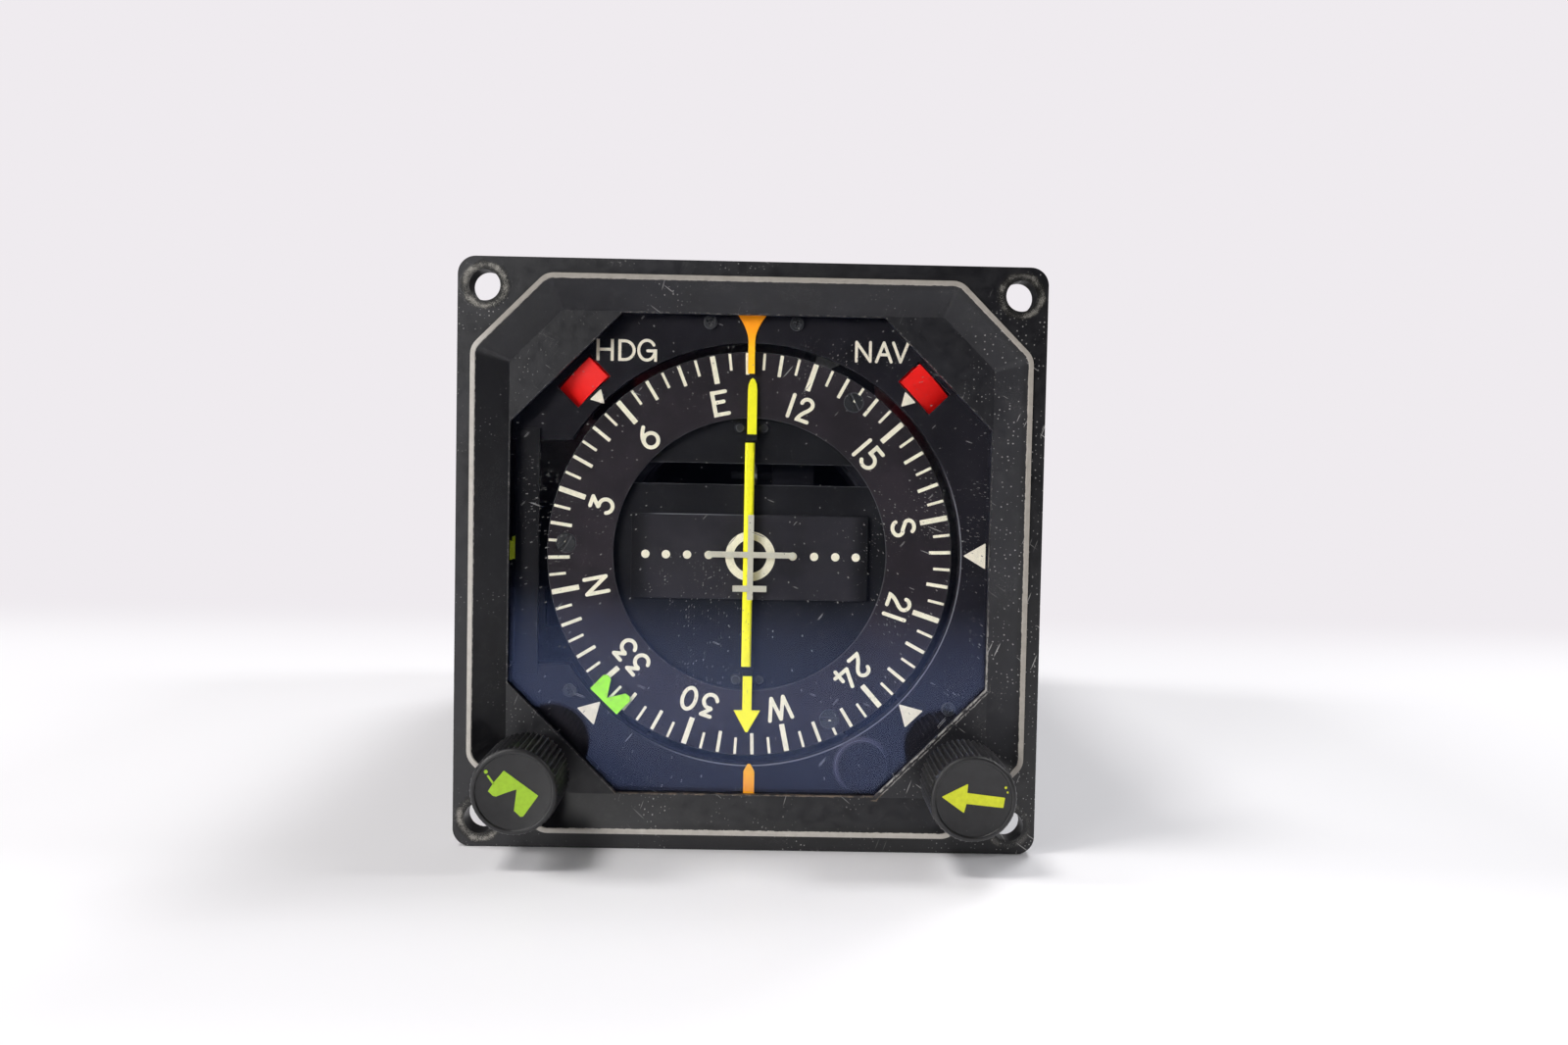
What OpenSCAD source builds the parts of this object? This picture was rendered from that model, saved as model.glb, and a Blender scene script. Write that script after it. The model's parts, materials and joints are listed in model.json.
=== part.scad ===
// Horizontal situation indicator for a square instrument panel hole.
// Frame: +X right, +Y into the instrument, +Z up, seen from in front.
// Origin: centre of the back face of the bezel flange, which lies against the panel.

/* [Bezel] */
// Width of the flange
bezel_w = 104.8; // [104:0.1:106]
// Height of the flange
bezel_h = 105.4; // [104:0.1:106]
// Thickness of the flange
flange_t = 5; // [4:0.5:6]
// Radius of the flange corners
corner_r = 3.2; // [2:0.1:4]
// Side of the square on which the four mounting holes lie
hole_pitch = 95.25; // [95:0.05:95.5]
// Radius of a mounting hole
hole_r = 2.75; // [2.5:0.05:2.9]
// Half width of the octagonal raised line
line_half = 50; // [49.6:0.1:50.2]
// Length cut off each corner of the raised line, along a side
line_corner = 13.2; // [12.8:0.1:13.6]
// Width of the raised line
line_w = 0.75; // [0.6:0.05:1]
// Height of the raised line above the flange
line_proud = 0.5; // [0.3:0.1:0.8]
// Radius that rounds the corners of the raised line
line_round = 3.5; // [2.5:0.5:4]
// Half width of the recess at its floor
floor_half = 44; // [43.9:0.1:44.4]
// Length cut off each corner of the recess floor
floor_corner = 9.4; // [9:0.1:10]
// Half width of the window
window_half = 43.8; // [43.4:0.1:43.9]
// Length cut off each corner of the window
window_corner = 20; // [19:0.1:20.4]

/* [Knobs] */
// Sideways distance of a knob from the centre
knob_x = 38.9; // [38.5:0.1:39.2]
// Drop of a knob below the centre
knob_z = 39.1; // [38.6:0.1:39.4]
// Radius over the flutes
knob_r = 7.6; // [7:0.1:7.8]
// Length of a knob
knob_len = 15.2; // [12:0.1:17]
// Number of flutes round a knob
knob_flutes = 48; // [36:1:56]
// Radius of a knob shaft
knob_shaft_r = 3; // [2.5:0.1:3.2]

/* [Display] */
// Radius of the round hole in the mask
mask_hole_r = 39; // [38.9:0.1:39.2]
// Outer radius of the azimuth card
card_r = 37.5; // [37.2:0.1:37.6]
// Inner radius of the azimuth card
card_bore_r = 25.3; // [25.2:0.1:25.6]
// Radius of the course disc
disc_r = 25.5; // [25.4:0.1:25.6]
// Compass angle that the card shows under the upper lubber line
heading = 101.7; // [0:0.1:359.9]
// Compass angle at which the heading bug is set
bug_heading = 325.6; // [0:0.1:359.9]
// Width of the deviation bar
bar_w = 1.8; // [1.6:0.05:2.2]
// Length of the deviation bar
bar_len = 41.5; // [40:0.1:42]

/* [Case] */
// Half width of the case
case_half = 48.5; // [48:0.1:48.6]
// Wall thickness of the case
case_wall = 1.2; // [1:0.1:1.5]
// Length of the case behind the flange
case_len = 185; // [180:1:200]
// Thickness of the rear plate
rear_t = 3; // [2.5:0.5:4]
// Shell radius of the rear connectors
connector_r = 14; // [12:0.5:15]
// Sideways distance of a rear connector from the centre
connector_x = 22; // [20:1:24]
// Length of a connector shell behind the rear plate
connector_len = 14; // [12:1:16]

/* [Gears] */
// Module of every gear
gear_m = 1; // [1:1:1]
// Teeth of the three ring gears
ring_teeth = 72; // [72:1:72]
// Teeth of the differential input and output gears
diff_teeth = 18; // [18:1:18]
// Teeth of the differential cage gears
cage_teeth = 16; // [16:1:16]
// Teeth of the pinions on the knob shafts
knob_teeth = 8; // [8:1:8]
// Teeth of the azimuth motor pinion
motor_teeth = 10; // [10:1:10]
// Teeth of the course resolver gear
resolver_teeth = 32; // [32:1:32]

/* [Hidden] */
$fn = 96;
// Radial gap of a running fit
run = 0.05;
// A cut runs past the face that it opens by this much
past = 1;
// Levels along Y, front to back
line_y = -flange_t - line_proud;
glass_y = [1.2, 3.2];
gasket_y = [3.2, 3.9];
mask_y = [3.9, 5.1];
lubber_y = 3.5;
pointer_y = [4.3, 4.8];
card_y = [5.2, 6.2];
drum_flange_y = [6.2, 7.8];
plate_y = 5.6;
disc_y = [6.9, 8.2];
bug_plate_y = [8.2, 9];
bug_gear_y = [9, 11];
card_gear_y = [11.5, 13.5];
front_frame_y = [5.1, 8.1];
cup_web_y = [38, 39.5];
mid_frame_y = [46.5, 49];
course_gear_y = [52, 54];
slip_y = [64, 96];
rear_frame_y = [116, 118.5];
// The front edge of the case stands in a groove, so that the back of the flange stays flat
groove_d = 0.6;
case_y = [-groove_d, case_len];
rear_y = [case_len, case_len + rear_t];
rear_rim = 10;
knob_y = [line_y - 0.3 - knob_len, line_y - 0.3];
// Outlines behind the flange; along a cut corner of the case, x + z is case_diag
case_diag = 87.5;
case_corner = 2 * case_half - case_diag;
inner_half = case_half - case_wall;
inner_corner = 2 * inner_half - (case_diag - case_wall * sqrt(2));
frame_half = inner_half - 0.1;
frame_corner = inner_corner;
glass_half = 45;
glass_corner = 18;
gasket_w = 0.6;
lubber_end = glass_half - gasket_w - 0.05;
upper_lubber_x = -0.3;
lower_lubber_x = 0.6;
// Radii of the nested turning parts
cup_r = 26.7;
cup_bore_r = 25.8;
tube_r = 9;
tube_bore_r = 7.5;
course_shaft_r = 5;
bushing_r = 4.2;
knob_rod_r = 1.8;
// Gear train, worked out from the teeth
ring_r = ring_teeth * gear_m / 2;
diff_dist = ring_r + diff_teeth * gear_m / 2;
cage_dist = (cage_teeth + knob_teeth) * gear_m / 2;
motor_dist = ring_r + motor_teeth * gear_m / 2;
resolver_dist = (resolver_teeth + knob_teeth) * gear_m / 2;
knob_dist = norm([knob_x, knob_z]);
knob_ang = atan2(-knob_z, knob_x);
diff_off = acos((diff_dist ^ 2 + knob_dist ^ 2 - cage_dist ^ 2) / (2 * diff_dist * knob_dist));
diff_ang = knob_ang - diff_off;
diff_pos = diff_dist * [cos(diff_ang), sin(diff_ang)];
motor_ang = 60;
motor_pos = motor_dist * [cos(motor_ang), sin(motor_ang)];
resolver_ang = 118;
resolver_pos = [knob_x, -knob_z] + resolver_dist * [cos(resolver_ang), sin(resolver_ang)];
cage_y = [20, 27];
cage_gear_y = [28, 29.6];
out_rear_y = [52.2, 53.8];
resolver_gear_y = [57, 58.6];
knob_gear_y = resolver_gear_y;
// Warning flags: each is a strip of a drum that turns about an axis aimed at the centre
flag_r = 12;
flag_t = 0.35;
flag_span = 46;
flag_w = 4.9;
flag_top_y = 3.4;
flag_axis_y = flag_top_y + flag_r;
flag_pivot = [28.55, 34.05];
flag_shift = 0.32;
slot_reach = [-0.4, 7.95];
// Course pointer and deviation bar
tail_tip = 32.66;
tail_base = 22.3;
head_base = 22.5;
barb_z = 28.9;
barb_w = 2.45;
head_tip = 32.95;
stem_w = 1.72;
slot_z = [13, 16.85];
arm_z = [13.2, 13.9];
bar_x = -0.3;
// Glideslope pointer
gs_x = [-44.55, -43.45];
vane_axis = [21, 14.6];
vane_r = 9.5;
vane_tilt = 25;
card_screw_circle = 34.1;
bug_rim = [37.85, 38.45];
meter_rod_r = 0.8;
meter_rod_half = 20.6;
pivot_r = 0.7;
axle_r = 1.5;
screw_r = 0.9;
post_r = 2.5;
boss = [21.4, -38.9];
mid_bearing_r = 13;
rear_bearing_r = 9;
motor_seat_r = 9.5;
board_x = 30;
connector_z = 8;
stud_z = -30;

// Shapes drawn in the X-Z plane and run along Y

module slab(y) translate([0, y[1], 0]) rotate([90, 0, 0]) linear_extrude(y[1] - y[0]) children();

module rod(y, r, at = [0, 0], r2 = undef)
    translate([at[0], y[1], at[1]]) rotate([90, 0, 0])
        cylinder(h = y[1] - y[0], r1 = r, r2 = is_undef(r2) ? r : r2);

module tube(y, r, bore, at = [0, 0]) difference() {
    rod(y, r, at);
    rod([y[0] - 1, y[1] + 1], bore, at);
}

function octagon(half, cut) = let (b = half - cut)
    [[half, -b], [half, b], [b, half], [-b, half], [-half, b], [-half, -b], [-b, -half], [b, -half]];

module octagon_slab(y, half, cut) slab(y) polygon(octagon(half, cut));

// Octagon with each corner rounded by an arc that touches both sides
function round_octagon(half, cut, r) = let (corners = octagon(half, cut), steps = 5)
    [for (k = [0 : 7])
        let (mid = 45 * k + 22.5, at = corners[(k + 1) % 8] - r / cos(22.5) * [cos(mid), sin(mid)])
        each [for (t = [0 : steps]) let (a = 45 * (k + t / steps)) at + r * [cos(a), sin(a)]]];

module round_octagon_slab(y, half, cut, r) slab(y) polygon(round_octagon(half, cut, r));

module octagon_ring(y, half, cut, in_half, in_cut) difference() {
    octagon_slab(y, half, cut);
    octagon_slab([y[0] - 1, y[1] + 1], in_half, in_cut);
}

module rounded_plate(y, w, h, r) {
    slab(y) square([w - 2 * r, h], center = true);
    slab(y) square([w, h - 2 * r], center = true);
    for (x = [-1, 1], z = [-1, 1]) rod(y, r, [x * (w / 2 - r), z * (h / 2 - r)]);
}

// Turns a child about the instrument's axis, clockwise as seen from in front
module clockwise(a) rotate([0, a, 0]) children();

// Slotted or crossed screw heads
module slot_head(y, r, at, turn = 0) difference() {
    rod(y, r, at);
    translate([at[0], y[0], at[1]]) rotate([0, turn, 0]) cube([2.4 * r, 1, 0.36 * r], center = true);
}

module cross_head(y, r, at) difference() {
    rod(y, r, at);
    for (a = [20, 110]) translate([at[0], y[0], at[1]]) rotate([0, a, 0])
        cube([1.15 * r, 1, 0.3 * r], center = true);
}

// Gear outline: trapezoid teeth, thinner than half the pitch so that meshed gears run free
function gear_points(n) = let (
        rp = n * gear_m / 2, tip = rp + 0.72 * gear_m, root = rp - 0.98 * gear_m, p = 360 / n,
        w_root = 0.56 * p * rp / root, w_tip = 0.16 * p)
    [for (i = [0 : n - 1]) for (c = [[root, -w_root / 2], [tip, -w_tip / 2], [tip, w_tip / 2],
        [root, w_root / 2]]) let (a = i * p + c[1]) c[0] * [cos(a), sin(a)]];

// Phase of gear n2, centred at angle a from the centre of gear n1, that meshes with it
function meshed(n1, phase1, a, n2) = a + 180 - 360 / n2 * (0.5 - n1 * (a - phase1) / 360);

module gear(y, n, at = [0, 0], phase = 0) slab(y) translate(at) rotate(phase) polygon(gear_points(n));

// Mirrors a course-side part to the heading side
module heading_side() mirror([1, 0, 0]) children();

// Bezel and window

module recess() hull() {
    round_octagon_slab([line_y - 0.02, line_y - 0.01], line_half - line_w, line_corner - 0.6 * line_w,
        line_round - line_w);
    round_octagon_slab([-0.01, 0], floor_half, floor_corner, 1);
}

module bezel() color([0.14, 0.14, 0.15]) difference() {
    union() {
        rounded_plate([-flange_t, 0], bezel_w, bezel_h, corner_r);
        round_octagon_slab([line_y, 0], line_half, line_corner, line_round);
        octagon_slab([0, front_frame_y[0]], frame_half, frame_corner);
    }
    recess();
    octagon_slab([-past, glass_y[0] + past], window_half, window_corner);
    octagon_slab([glass_y[0], front_frame_y[0] + past], glass_half + 0.1, glass_corner);
    octagon_ring([-groove_d, past], case_half + 0.1, case_corner, frame_half, frame_corner);
    for (x = [-1, 1], z = [-1, 1]) rod([-flange_t - past, past], hole_r, hole_pitch / 2 * [x, z]);
    for (x = [-1, 1]) rod([line_y - past, front_frame_y[0] + past], bushing_r, [x * knob_x, -knob_z]);
}

module window_glass() color([0.75, 0.8, 0.95, 0.3]) octagon_slab(glass_y, glass_half, glass_corner);

module window_gasket() color([0.1, 0.1, 0.1])
    octagon_ring(gasket_y, glass_half, glass_corner, glass_half - gasket_w, glass_corner);

// The mask is open at the left, over the glideslope mechanism, and has a slot for each flag
function flag_spot(side) = [side * flag_pivot[0] + flag_shift, flag_pivot[1]];
module flag_slot(y, side) slab(y) translate(flag_spot(side)) rotate(side > 0 ? -45 : 225)
    translate([slot_reach[0], -flag_w / 2 - 0.25]) square([slot_reach[1] - slot_reach[0], flag_w + 0.5]);

module side_opening(y) slab(y) translate([-45.1, -20.85]) square([12.7, 41.5]);

module mask() color([0.16, 0.16, 0.18]) difference() {
    union() {
        octagon_slab(mask_y, glass_half, glass_corner);
        rod([mask_y[0] - 0.12, mask_y[0]], 4.8, boss);
    }
    through = [mask_y[0] - past, mask_y[1] + past];
    rod(through, mask_hole_r);
    side_opening(through);
    for (side = [-1, 1]) flag_slot(through, side);
    for (p = screw_spots()) rod(through, screw_r, p);
}

function screw_spots() = [[-32.7, -25.5], [37.4, -27.9], [-7.9, 42.6], [7.9, 42.6]];

module mask_screws() color([0.2, 0.2, 0.22]) for (p = screw_spots()) {
    cross_head([mask_y[0] - 0.6, mask_y[0]], 1.25, p);
    rod([mask_y[0], mask_y[1] + 2], screw_r, p);
}

module glideslope_scale() color([0.17, 0.17, 0.19]) {
    slab([mask_y[0] - 0.5, mask_y[0]]) translate([-43.1, -22.7]) square([4.4, 45.4]);
}

// Orange lines against which the card is read, each glued on a little beside the middle
function flare(t) = [0.63 + 2.2 * t ^ 1.72, 39.4 + (lubber_end - 39.4) * t];

module upper_lubber() color([0.95, 0.5, 0.1]) slab([lubber_y, mask_y[0]])
    translate([upper_lubber_x, 0]) polygon(concat([[-0.63, 33.4], [0.63, 33.4]],
        [for (t = [0 : 0.125 : 1]) flare(t)],
        [for (t = [1 : -0.125 : 0]) [-flare(t)[0], flare(t)[1]]]));

module lower_lubber() color([0.95, 0.6, 0.15]) slab([lubber_y, mask_y[0]])
    translate([lower_lubber_x, 0]) polygon([[-1.02, -lubber_end], [1.02, -lubber_end],
        [1.02, -40.15], [0.25, -38.75], [-0.25, -38.75], [-1.02, -40.15]]);

// Frames, case and rear

module front_frame() color("silver") difference() {
    octagon_slab(front_frame_y, frame_half, frame_corner);
    through = [front_frame_y[0] - past, front_frame_y[1] + past];
    rod(through, mask_hole_r + 0.1);
    side_opening(through);
    for (side = [-1, 1]) slab(through) translate(flag_spot(side))
        rotate(side > 0 ? -45 : 225) translate([-3.2, -flag_w / 2 - 0.3]) square([16.6, flag_w + 2.8]);
    for (x = [-1, 1]) {
        rod(through, knob_shaft_r + run, [x * knob_x, -knob_z]);
        rod(through, axle_r + run, [x * diff_pos[0], diff_pos[1]]);
    }
    for (p = screw_spots()) rod([mask_y[0], mask_y[1] + 2], screw_r, p);
    rod(through, axle_r + run, motor_pos);
}

function post_spots() = [[-43.4, 31], [43.4, 31], [-16, -43.4], [16, -43.4]];

module mid_frame() color("silver") difference() {
    octagon_slab(mid_frame_y, frame_half, frame_corner);
    through = [mid_frame_y[0] - past, mid_frame_y[1] + past];
    rod(through, mid_bearing_r);
    for (p = post_spots()) rod(through, post_r, p);
    for (x = [-1, 1]) {
        rod(through, axle_r + run, [x * diff_pos[0], diff_pos[1]]);
        rod(through, knob_rod_r + run, [x * knob_x, -knob_z]);
    }
    rod(through, motor_seat_r, motor_pos);
    slab(through) translate([-30, 30]) square([9, 9], center = true);
    slab(through) translate([-40, -8]) square([8, 22], center = true);
}

module rear_frame() color("silver") difference() {
    octagon_slab(rear_frame_y, frame_half, frame_corner);
    through = [rear_frame_y[0] - past, rear_frame_y[1] + past];
    rod(through, rear_bearing_r);
    for (p = post_spots()) rod(through, post_r, p);
    for (x = [-1, 1]) slab(through) translate([x * board_x, 0]) square([2.4, 50], center = true);
}

module frame_posts() color("gainsboro") for (p = post_spots()) {
    rod([front_frame_y[1], rear_frame_y[1]], post_r, p);
    rod([rear_frame_y[1], rear_frame_y[1] + 2.4], 3.4, p);
}

module case() color([0.12, 0.12, 0.13]) difference() {
    octagon_slab(case_y, case_half, case_corner);
    octagon_slab([case_y[0] - past, case_y[1] + past], inner_half, inner_corner);
    for (s = case_screw_spots()) case_screw_at(s) {
        cylinder(h = 8, r = 1.5, center = true);
        translate([0, 0, -1]) cylinder(h = 1.05, r1 = 1.5, r2 = 2.65); // countersink
    }
}

// The case is screwed to the edges of the front, middle and rear frames and the rear plate
function case_screw_spots() = [for (y = [(mid_frame_y[0] + mid_frame_y[1]) / 2, 117.25, 180])
    for (a = [0 : 90 : 270]) for (t = [-24, 24]) [y, a, t]];

module case_screw_at(s) rotate([0, s[1], 0]) translate([s[2], s[0], case_half]) children();

module case_screws() color("silver") for (s = case_screw_spots()) case_screw_at(s) {
    difference() {
        translate([0, 0, -1]) cylinder(h = 0.95, r1 = 1.4, r2 = 2.5);
        translate([0, 0, -0.1]) for (a = [0, 90]) rotate(a) cube([2.6, 0.55, 1], center = true);
    }
    translate([0, 0, -case_wall - 0.05]) cylinder(h = 0.3, r = 1.4);
}

module rear_plate() color([0.2, 0.2, 0.22]) {
    difference() {
        union() {
            octagon_slab(rear_y, case_half, case_corner);
            octagon_ring([case_len - rear_rim, case_len], frame_half, frame_corner,
                frame_half - 2.5, frame_corner);
        }
        for (s = case_screw_spots()) case_screw_at(s) cylinder(h = 12, r = 1.2, center = true);
        for (x = [-1, 1]) rod([rear_y[0] - past, rear_y[1] + past], connector_r - 2.5,
            [x * connector_x, connector_z]);
    }
    rod([rear_y[1], rear_y[1] + 9], 2, [0, stud_z]);
    rod([rear_y[1], rear_y[1] + 2.4], 4, [0, stud_z]);
}

// Each connector is a shell filled by an insulator with rows of contact holes
module rear_connectors() color("darkgray") for (x = [-1, 1]) {
    at = [x * connector_x, connector_z];
    end = rear_y[1] + connector_len;
    difference() {
        union() {
            rod([rear_y[1] + 2, end], connector_r, at);
            slab([rear_y[1], rear_y[1] + 2]) translate(at) square(2 * connector_r + 4, center = true);
            rod([rear_y[0] - 5, rear_y[1]], connector_r - 2.6, at);
        }
        difference() {
            rod([end - 0.8, end + 1], connector_r - 1.2, at);
            rod([end - 1, end - 0.3], connector_r - 2, at);
        }
        for (k = [0 : 5]) rod([end - 3, end + 1], 0.7, at + 4 * [cos(60 * k), sin(60 * k)]);
        for (k = [0 : 11]) rod([end - 3, end + 1], 0.7, at + 9 * [cos(30 * k), sin(30 * k)]);
    }
    for (a = [-1, 1], b = [-1, 1])
        rod([rear_y[1] + 2, rear_y[1] + 3.6], 1.3, at + (connector_r - 0.4) * [a, b]);
}

module shaft_bushings() color("darkgray") for (x = [-1, 1])
    tube([line_y + 1.5, front_frame_y[0]], bushing_r, knob_shaft_r + run, [x * knob_x, -knob_z]);

module frame_bearings() color("gainsboro") {
    tube([mid_frame_y[0], mid_frame_y[1] + 1], mid_bearing_r, tube_r + run);
    tube([rear_frame_y[0], rear_frame_y[1] + 1], rear_bearing_r, course_shaft_r + run);
}

// Card: the azimuth card rides on a drum that goes round the course mechanism

module azimuth_card() color([0.18, 0.18, 0.19]) difference() {
    tube(card_y, card_r, card_bore_r);
    for (a = card_screw_angles()) rod([card_y[0] - past, card_y[1] + past], 1.8,
        card_screw_circle * [sin(a), cos(a)]);
}

function card_screw_angles() = [33.2, 153.2, 272.7];

module card_screws() color([0.22, 0.22, 0.23]) for (a = card_screw_angles())
    slot_head([card_y[0] - 0.1, card_y[1]], 1.75, card_screw_circle * [sin(a), cos(a)], 30 + a);

module card_drum() color("gainsboro") difference() {
    union() {
        rod(drum_flange_y, 35);
        rod([drum_flange_y[0], cup_web_y[1]], cup_r);
        rod([cup_web_y[0], mid_frame_y[1] + 1.5], tube_r);
    }
    rod([0, cup_web_y[0]], cup_bore_r);
    rod([0, 90], tube_bore_r);
}

module card_gear() color("gold") difference() {
    gear(card_gear_y, ring_teeth);
    rod([0, 20], cup_r);
}

module synchro_rotor() color("peru") tube([40.5, 45.5], 15, tube_r);
module synchro_stator() color("dimgray") tube([40, mid_frame_y[0]], 22, 15.3);
module course_bearing() color("gainsboro") tube([41, 47], tube_bore_r, course_shaft_r + run);

// Heading bug, which reaches forward through the gap between card and mask

bug_ang = bug_heading - heading;
module heading_bug() color([0.4, 0.95, 0.25]) clockwise(bug_ang) {
    slab(pointer_y + [0.1, 0.1]) polygon([[-3.45, 38.4], [-3.45, 34.9], [-2.8, 34.35], [-1.9, 34.5],
        [0, 37.5], [1.9, 34.5], [2.8, 34.35], [3.45, 34.9], [3.45, 38.4]]);
    intersection() {
        tube([pointer_y[0] + 0.3, bug_plate_y[1]], bug_rim[1], bug_rim[0]);
        slab([0, 20]) translate([0, 37]) square([6, 6], center = true);
    }
    intersection() {
        rod(bug_plate_y, bug_rim[1]);
        slab([0, 20]) translate([-3, 28]) square([6, 12]);
    }
}

module bug_gear() color("gold") difference() {
    gear(bug_gear_y, ring_teeth);
    rod([0, 20], cup_r + run);
}

// Course mechanism, drawn with the pointer head down as it stands

module course_disc() color([0.13, 0.13, 0.14]) difference() {
    rod(disc_y, disc_r);
    slab([0, 20]) translate([-30, slot_z[0]]) square([60, slot_z[1] - slot_z[0]]);
}

module deviation_scale() color([0.16, 0.16, 0.17]) {
    slab([plate_y, disc_y[0]]) translate([-22, -8.35]) square([44, 15.75]);
}

module course_pointer() color("yellow") {
    slab(pointer_y) polygon([[-stem_w / 2, tail_base], [-stem_w / 2, tail_tip - 2.3],
        [-0.75, tail_tip - 1.2], [-0.42, tail_tip - 0.35], [0, tail_tip], [0.42, tail_tip - 0.35],
        [0.75, tail_tip - 1.2], [stem_w / 2, tail_tip - 2.3], [stem_w / 2, tail_base]]);
    slab(pointer_y) polygon([[-stem_w / 2, -head_base], [stem_w / 2, -head_base],
        [stem_w / 2, -barb_z], [barb_w, -barb_z], [0.2, -head_tip], [-0.2, -head_tip],
        [-barb_w, -barb_z], [-stem_w / 2, -barb_z]]);
    for (z = [-1, 1]) slab([pointer_y[1], disc_y[0]]) translate([0, z * 23.6])
        square([1.6, 1.8], center = true);
}

module pointer_screws() color([0.25, 0.25, 0.26]) for (x = [-2.25, 2.25], z = [-23.5, 23.5])
    rod([disc_y[0] - 0.5, disc_y[0]], 1.1, [x, z], 0.75);

module course_drum() color("silver") difference() {
    rod([disc_y[1], 36], disc_r);
    rod([disc_y[1] - 1, disc_y[1] + 2], 24.3);
    rod([0, 34], 23.6);
    rod([0, 90], course_shaft_r);
}

module course_shaft() color("gainsboro") {
    rod([31, 123], course_shaft_r);
}

module course_gear() color("gold") difference() {
    gear(course_gear_y, ring_teeth);
    rod([0, 90], course_shaft_r);
    for (a = [0 : 60 : 300]) rod([0, 90], 8, 20 * [cos(a), sin(a)]);
}

module slip_rings() color("goldenrod") {
    tube(slip_y, 7.4, course_shaft_r);
    for (k = [0 : 9]) tube([slip_y[0] + 1.5 + 3 * k, slip_y[0] + 3 + 3 * k], 8.2, 7.4);
}

module deviation_meter() color("dimgray") {
    rod([22, 31], 9, [0, -12]);
    slab([31, 34]) translate([-9, -21]) square([18, 12]);
    rod([11.2, 22], 1.5, [0, -12]);
    translate([0, 12, -2]) rotate([0, 90, 0])
        cylinder(h = 2 * meter_rod_half, r = meter_rod_r, center = true);
    for (x = [-meter_rod_half - 1.2, meter_rod_half]) translate([x, 11, -3.2]) cube([1.2, 23, 2.4]);
}

module deviation_bar() color("yellow") {
    slab(pointer_y) translate([bar_x - bar_w / 2, -bar_len / 2]) square([bar_w, bar_len]);
    slab([pointer_y[1], 9.1]) translate([-0.6, arm_z[0]]) square([1.2, arm_z[1] - arm_z[0]]);
    slab([9.1, 9.7]) translate([-0.6, -3.4]) square([1.2, arm_z[1] + 3.4]);
    difference() {
        slab([9.7, 13.4]) translate([-1.2, -3.4]) square([2.4, 2.8]);
        translate([-5, 12, -2]) rotate([0, 90, 0]) cylinder(h = 10, r = meter_rod_r + run);
    }
}

// The vane carries two arrow heads, hidden above and below the slot while it rests.
// The upper one points to the tail and the lower one to the head.
module to_from_vane() color("white") translate([0, vane_axis[0], vane_axis[1]]) {
    difference() {
        rotate([0, 90, 0]) cylinder(h = 2, r = 1.8, center = true);
        rotate([0, 90, 0]) cylinder(h = 9, r = pivot_r + run, center = true);
    }
    for (end = [-1, 1]) rotate([-end * vane_tilt, 0, 0]) {
        translate([-0.6, -vane_r, -0.5]) cube([1.2, vane_r - 1.4, 1]);
        translate([0, -vane_r, 0]) slab([-0.4, 0])
            polygon([[-2.6, -1.7 * end], [2.6, -1.7 * end], [0, 1.7 * end]]);
    }
}

module to_from_meter() color("dimgray") translate([0, vane_axis[0], vane_axis[1]]) {
    rotate([0, 90, 0]) cylinder(h = 8, r = pivot_r, center = true);
    translate([4, 0, 0]) rotate([0, 90, 0]) cylinder(h = 8, r = 4);
    translate([4, 0, -2]) cube([8, 13, 4]);
}

// Glideslope pointer at the left edge

module glideslope_pointer() color([0.8, 0.85, 0.2]) {
    slab([pointer_y[0], pointer_y[0] + 0.5]) translate([gs_x[0], 0])
        polygon([[0, -1.85], [1.1, -1.4], [1.1, 1.6], [0, 2.05]]);
    slab([pointer_y[0] + 0.5, 12]) translate([gs_x[0], -0.6]) square([0.9, 1.4]);
    difference() {
        slab([12, 16]) translate([gs_x[0] - 0.6, -2]) square([2.6, 4.2]);
        translate([gs_x[0] + 0.7, 14, 0]) cylinder(h = 20, r = meter_rod_r + run, center = true);
    }
}

module glideslope_meter() color("dimgray") {
    translate([gs_x[0] + 0.7, 14, 0]) cylinder(h = 45, r = meter_rod_r, center = true);
    for (z = [-23.5, 22]) translate([gs_x[0] - 0.8, 8.1, z]) cube([3, 7.4, 1.5]);
    translate([-46.2, 18, -8]) cube([7.6, 16, 16]);
    translate([-46.2, 34, -4]) cube([7.6, mid_frame_y[0] - 34, 5]);
}

// Warning flags: side is -1 for the heading flag and 1 for the navigation flag.
// Local frame: origin on the pivot, +X along the flag, +Y into the instrument.
module flag_place(side) translate([flag_spot(side)[0], flag_axis_y, flag_spot(side)[1]])
    rotate([0, side > 0 ? 45 : -45, 0]) mirror([side > 0 ? 0 : 1, 0, 0]) children();

module sector(span) rotate([0, 0, -90]) rotate_extrude(angle = span) children();

module warning_flag(side) color([0.95, 0.15, 0.12]) flag_place(side) difference() {
    union() {
        sector(flag_span) translate([flag_r - flag_t, -flag_w / 2]) square([flag_t, flag_w]);
        sector(flag_span) translate([0, flag_w / 2 - 0.5]) square([flag_r - 0.1, 0.5]);
        translate([0, 0, -flag_w / 2 + 1]) cylinder(h = flag_w - 1, r = 1.7);
    }
    cylinder(h = 20, r = pivot_r + run, center = true);
}

module heading_flag() warning_flag(-1);
module nav_flag() warning_flag(1);

module flag_meters() color("dimgray") for (side = [-1, 1]) flag_place(side) {
    translate([0, 0, -flag_w / 2]) cylinder(h = flag_w + 4, r = pivot_r);
    translate([0, 0, flag_w / 2 + 1.2]) cylinder(h = 5.6, r = 3.6);
    translate([-2, -7.3, flag_w / 2 + 1.2]) cube([4, 7.3, 5.6]);
}

// Knobs

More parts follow.
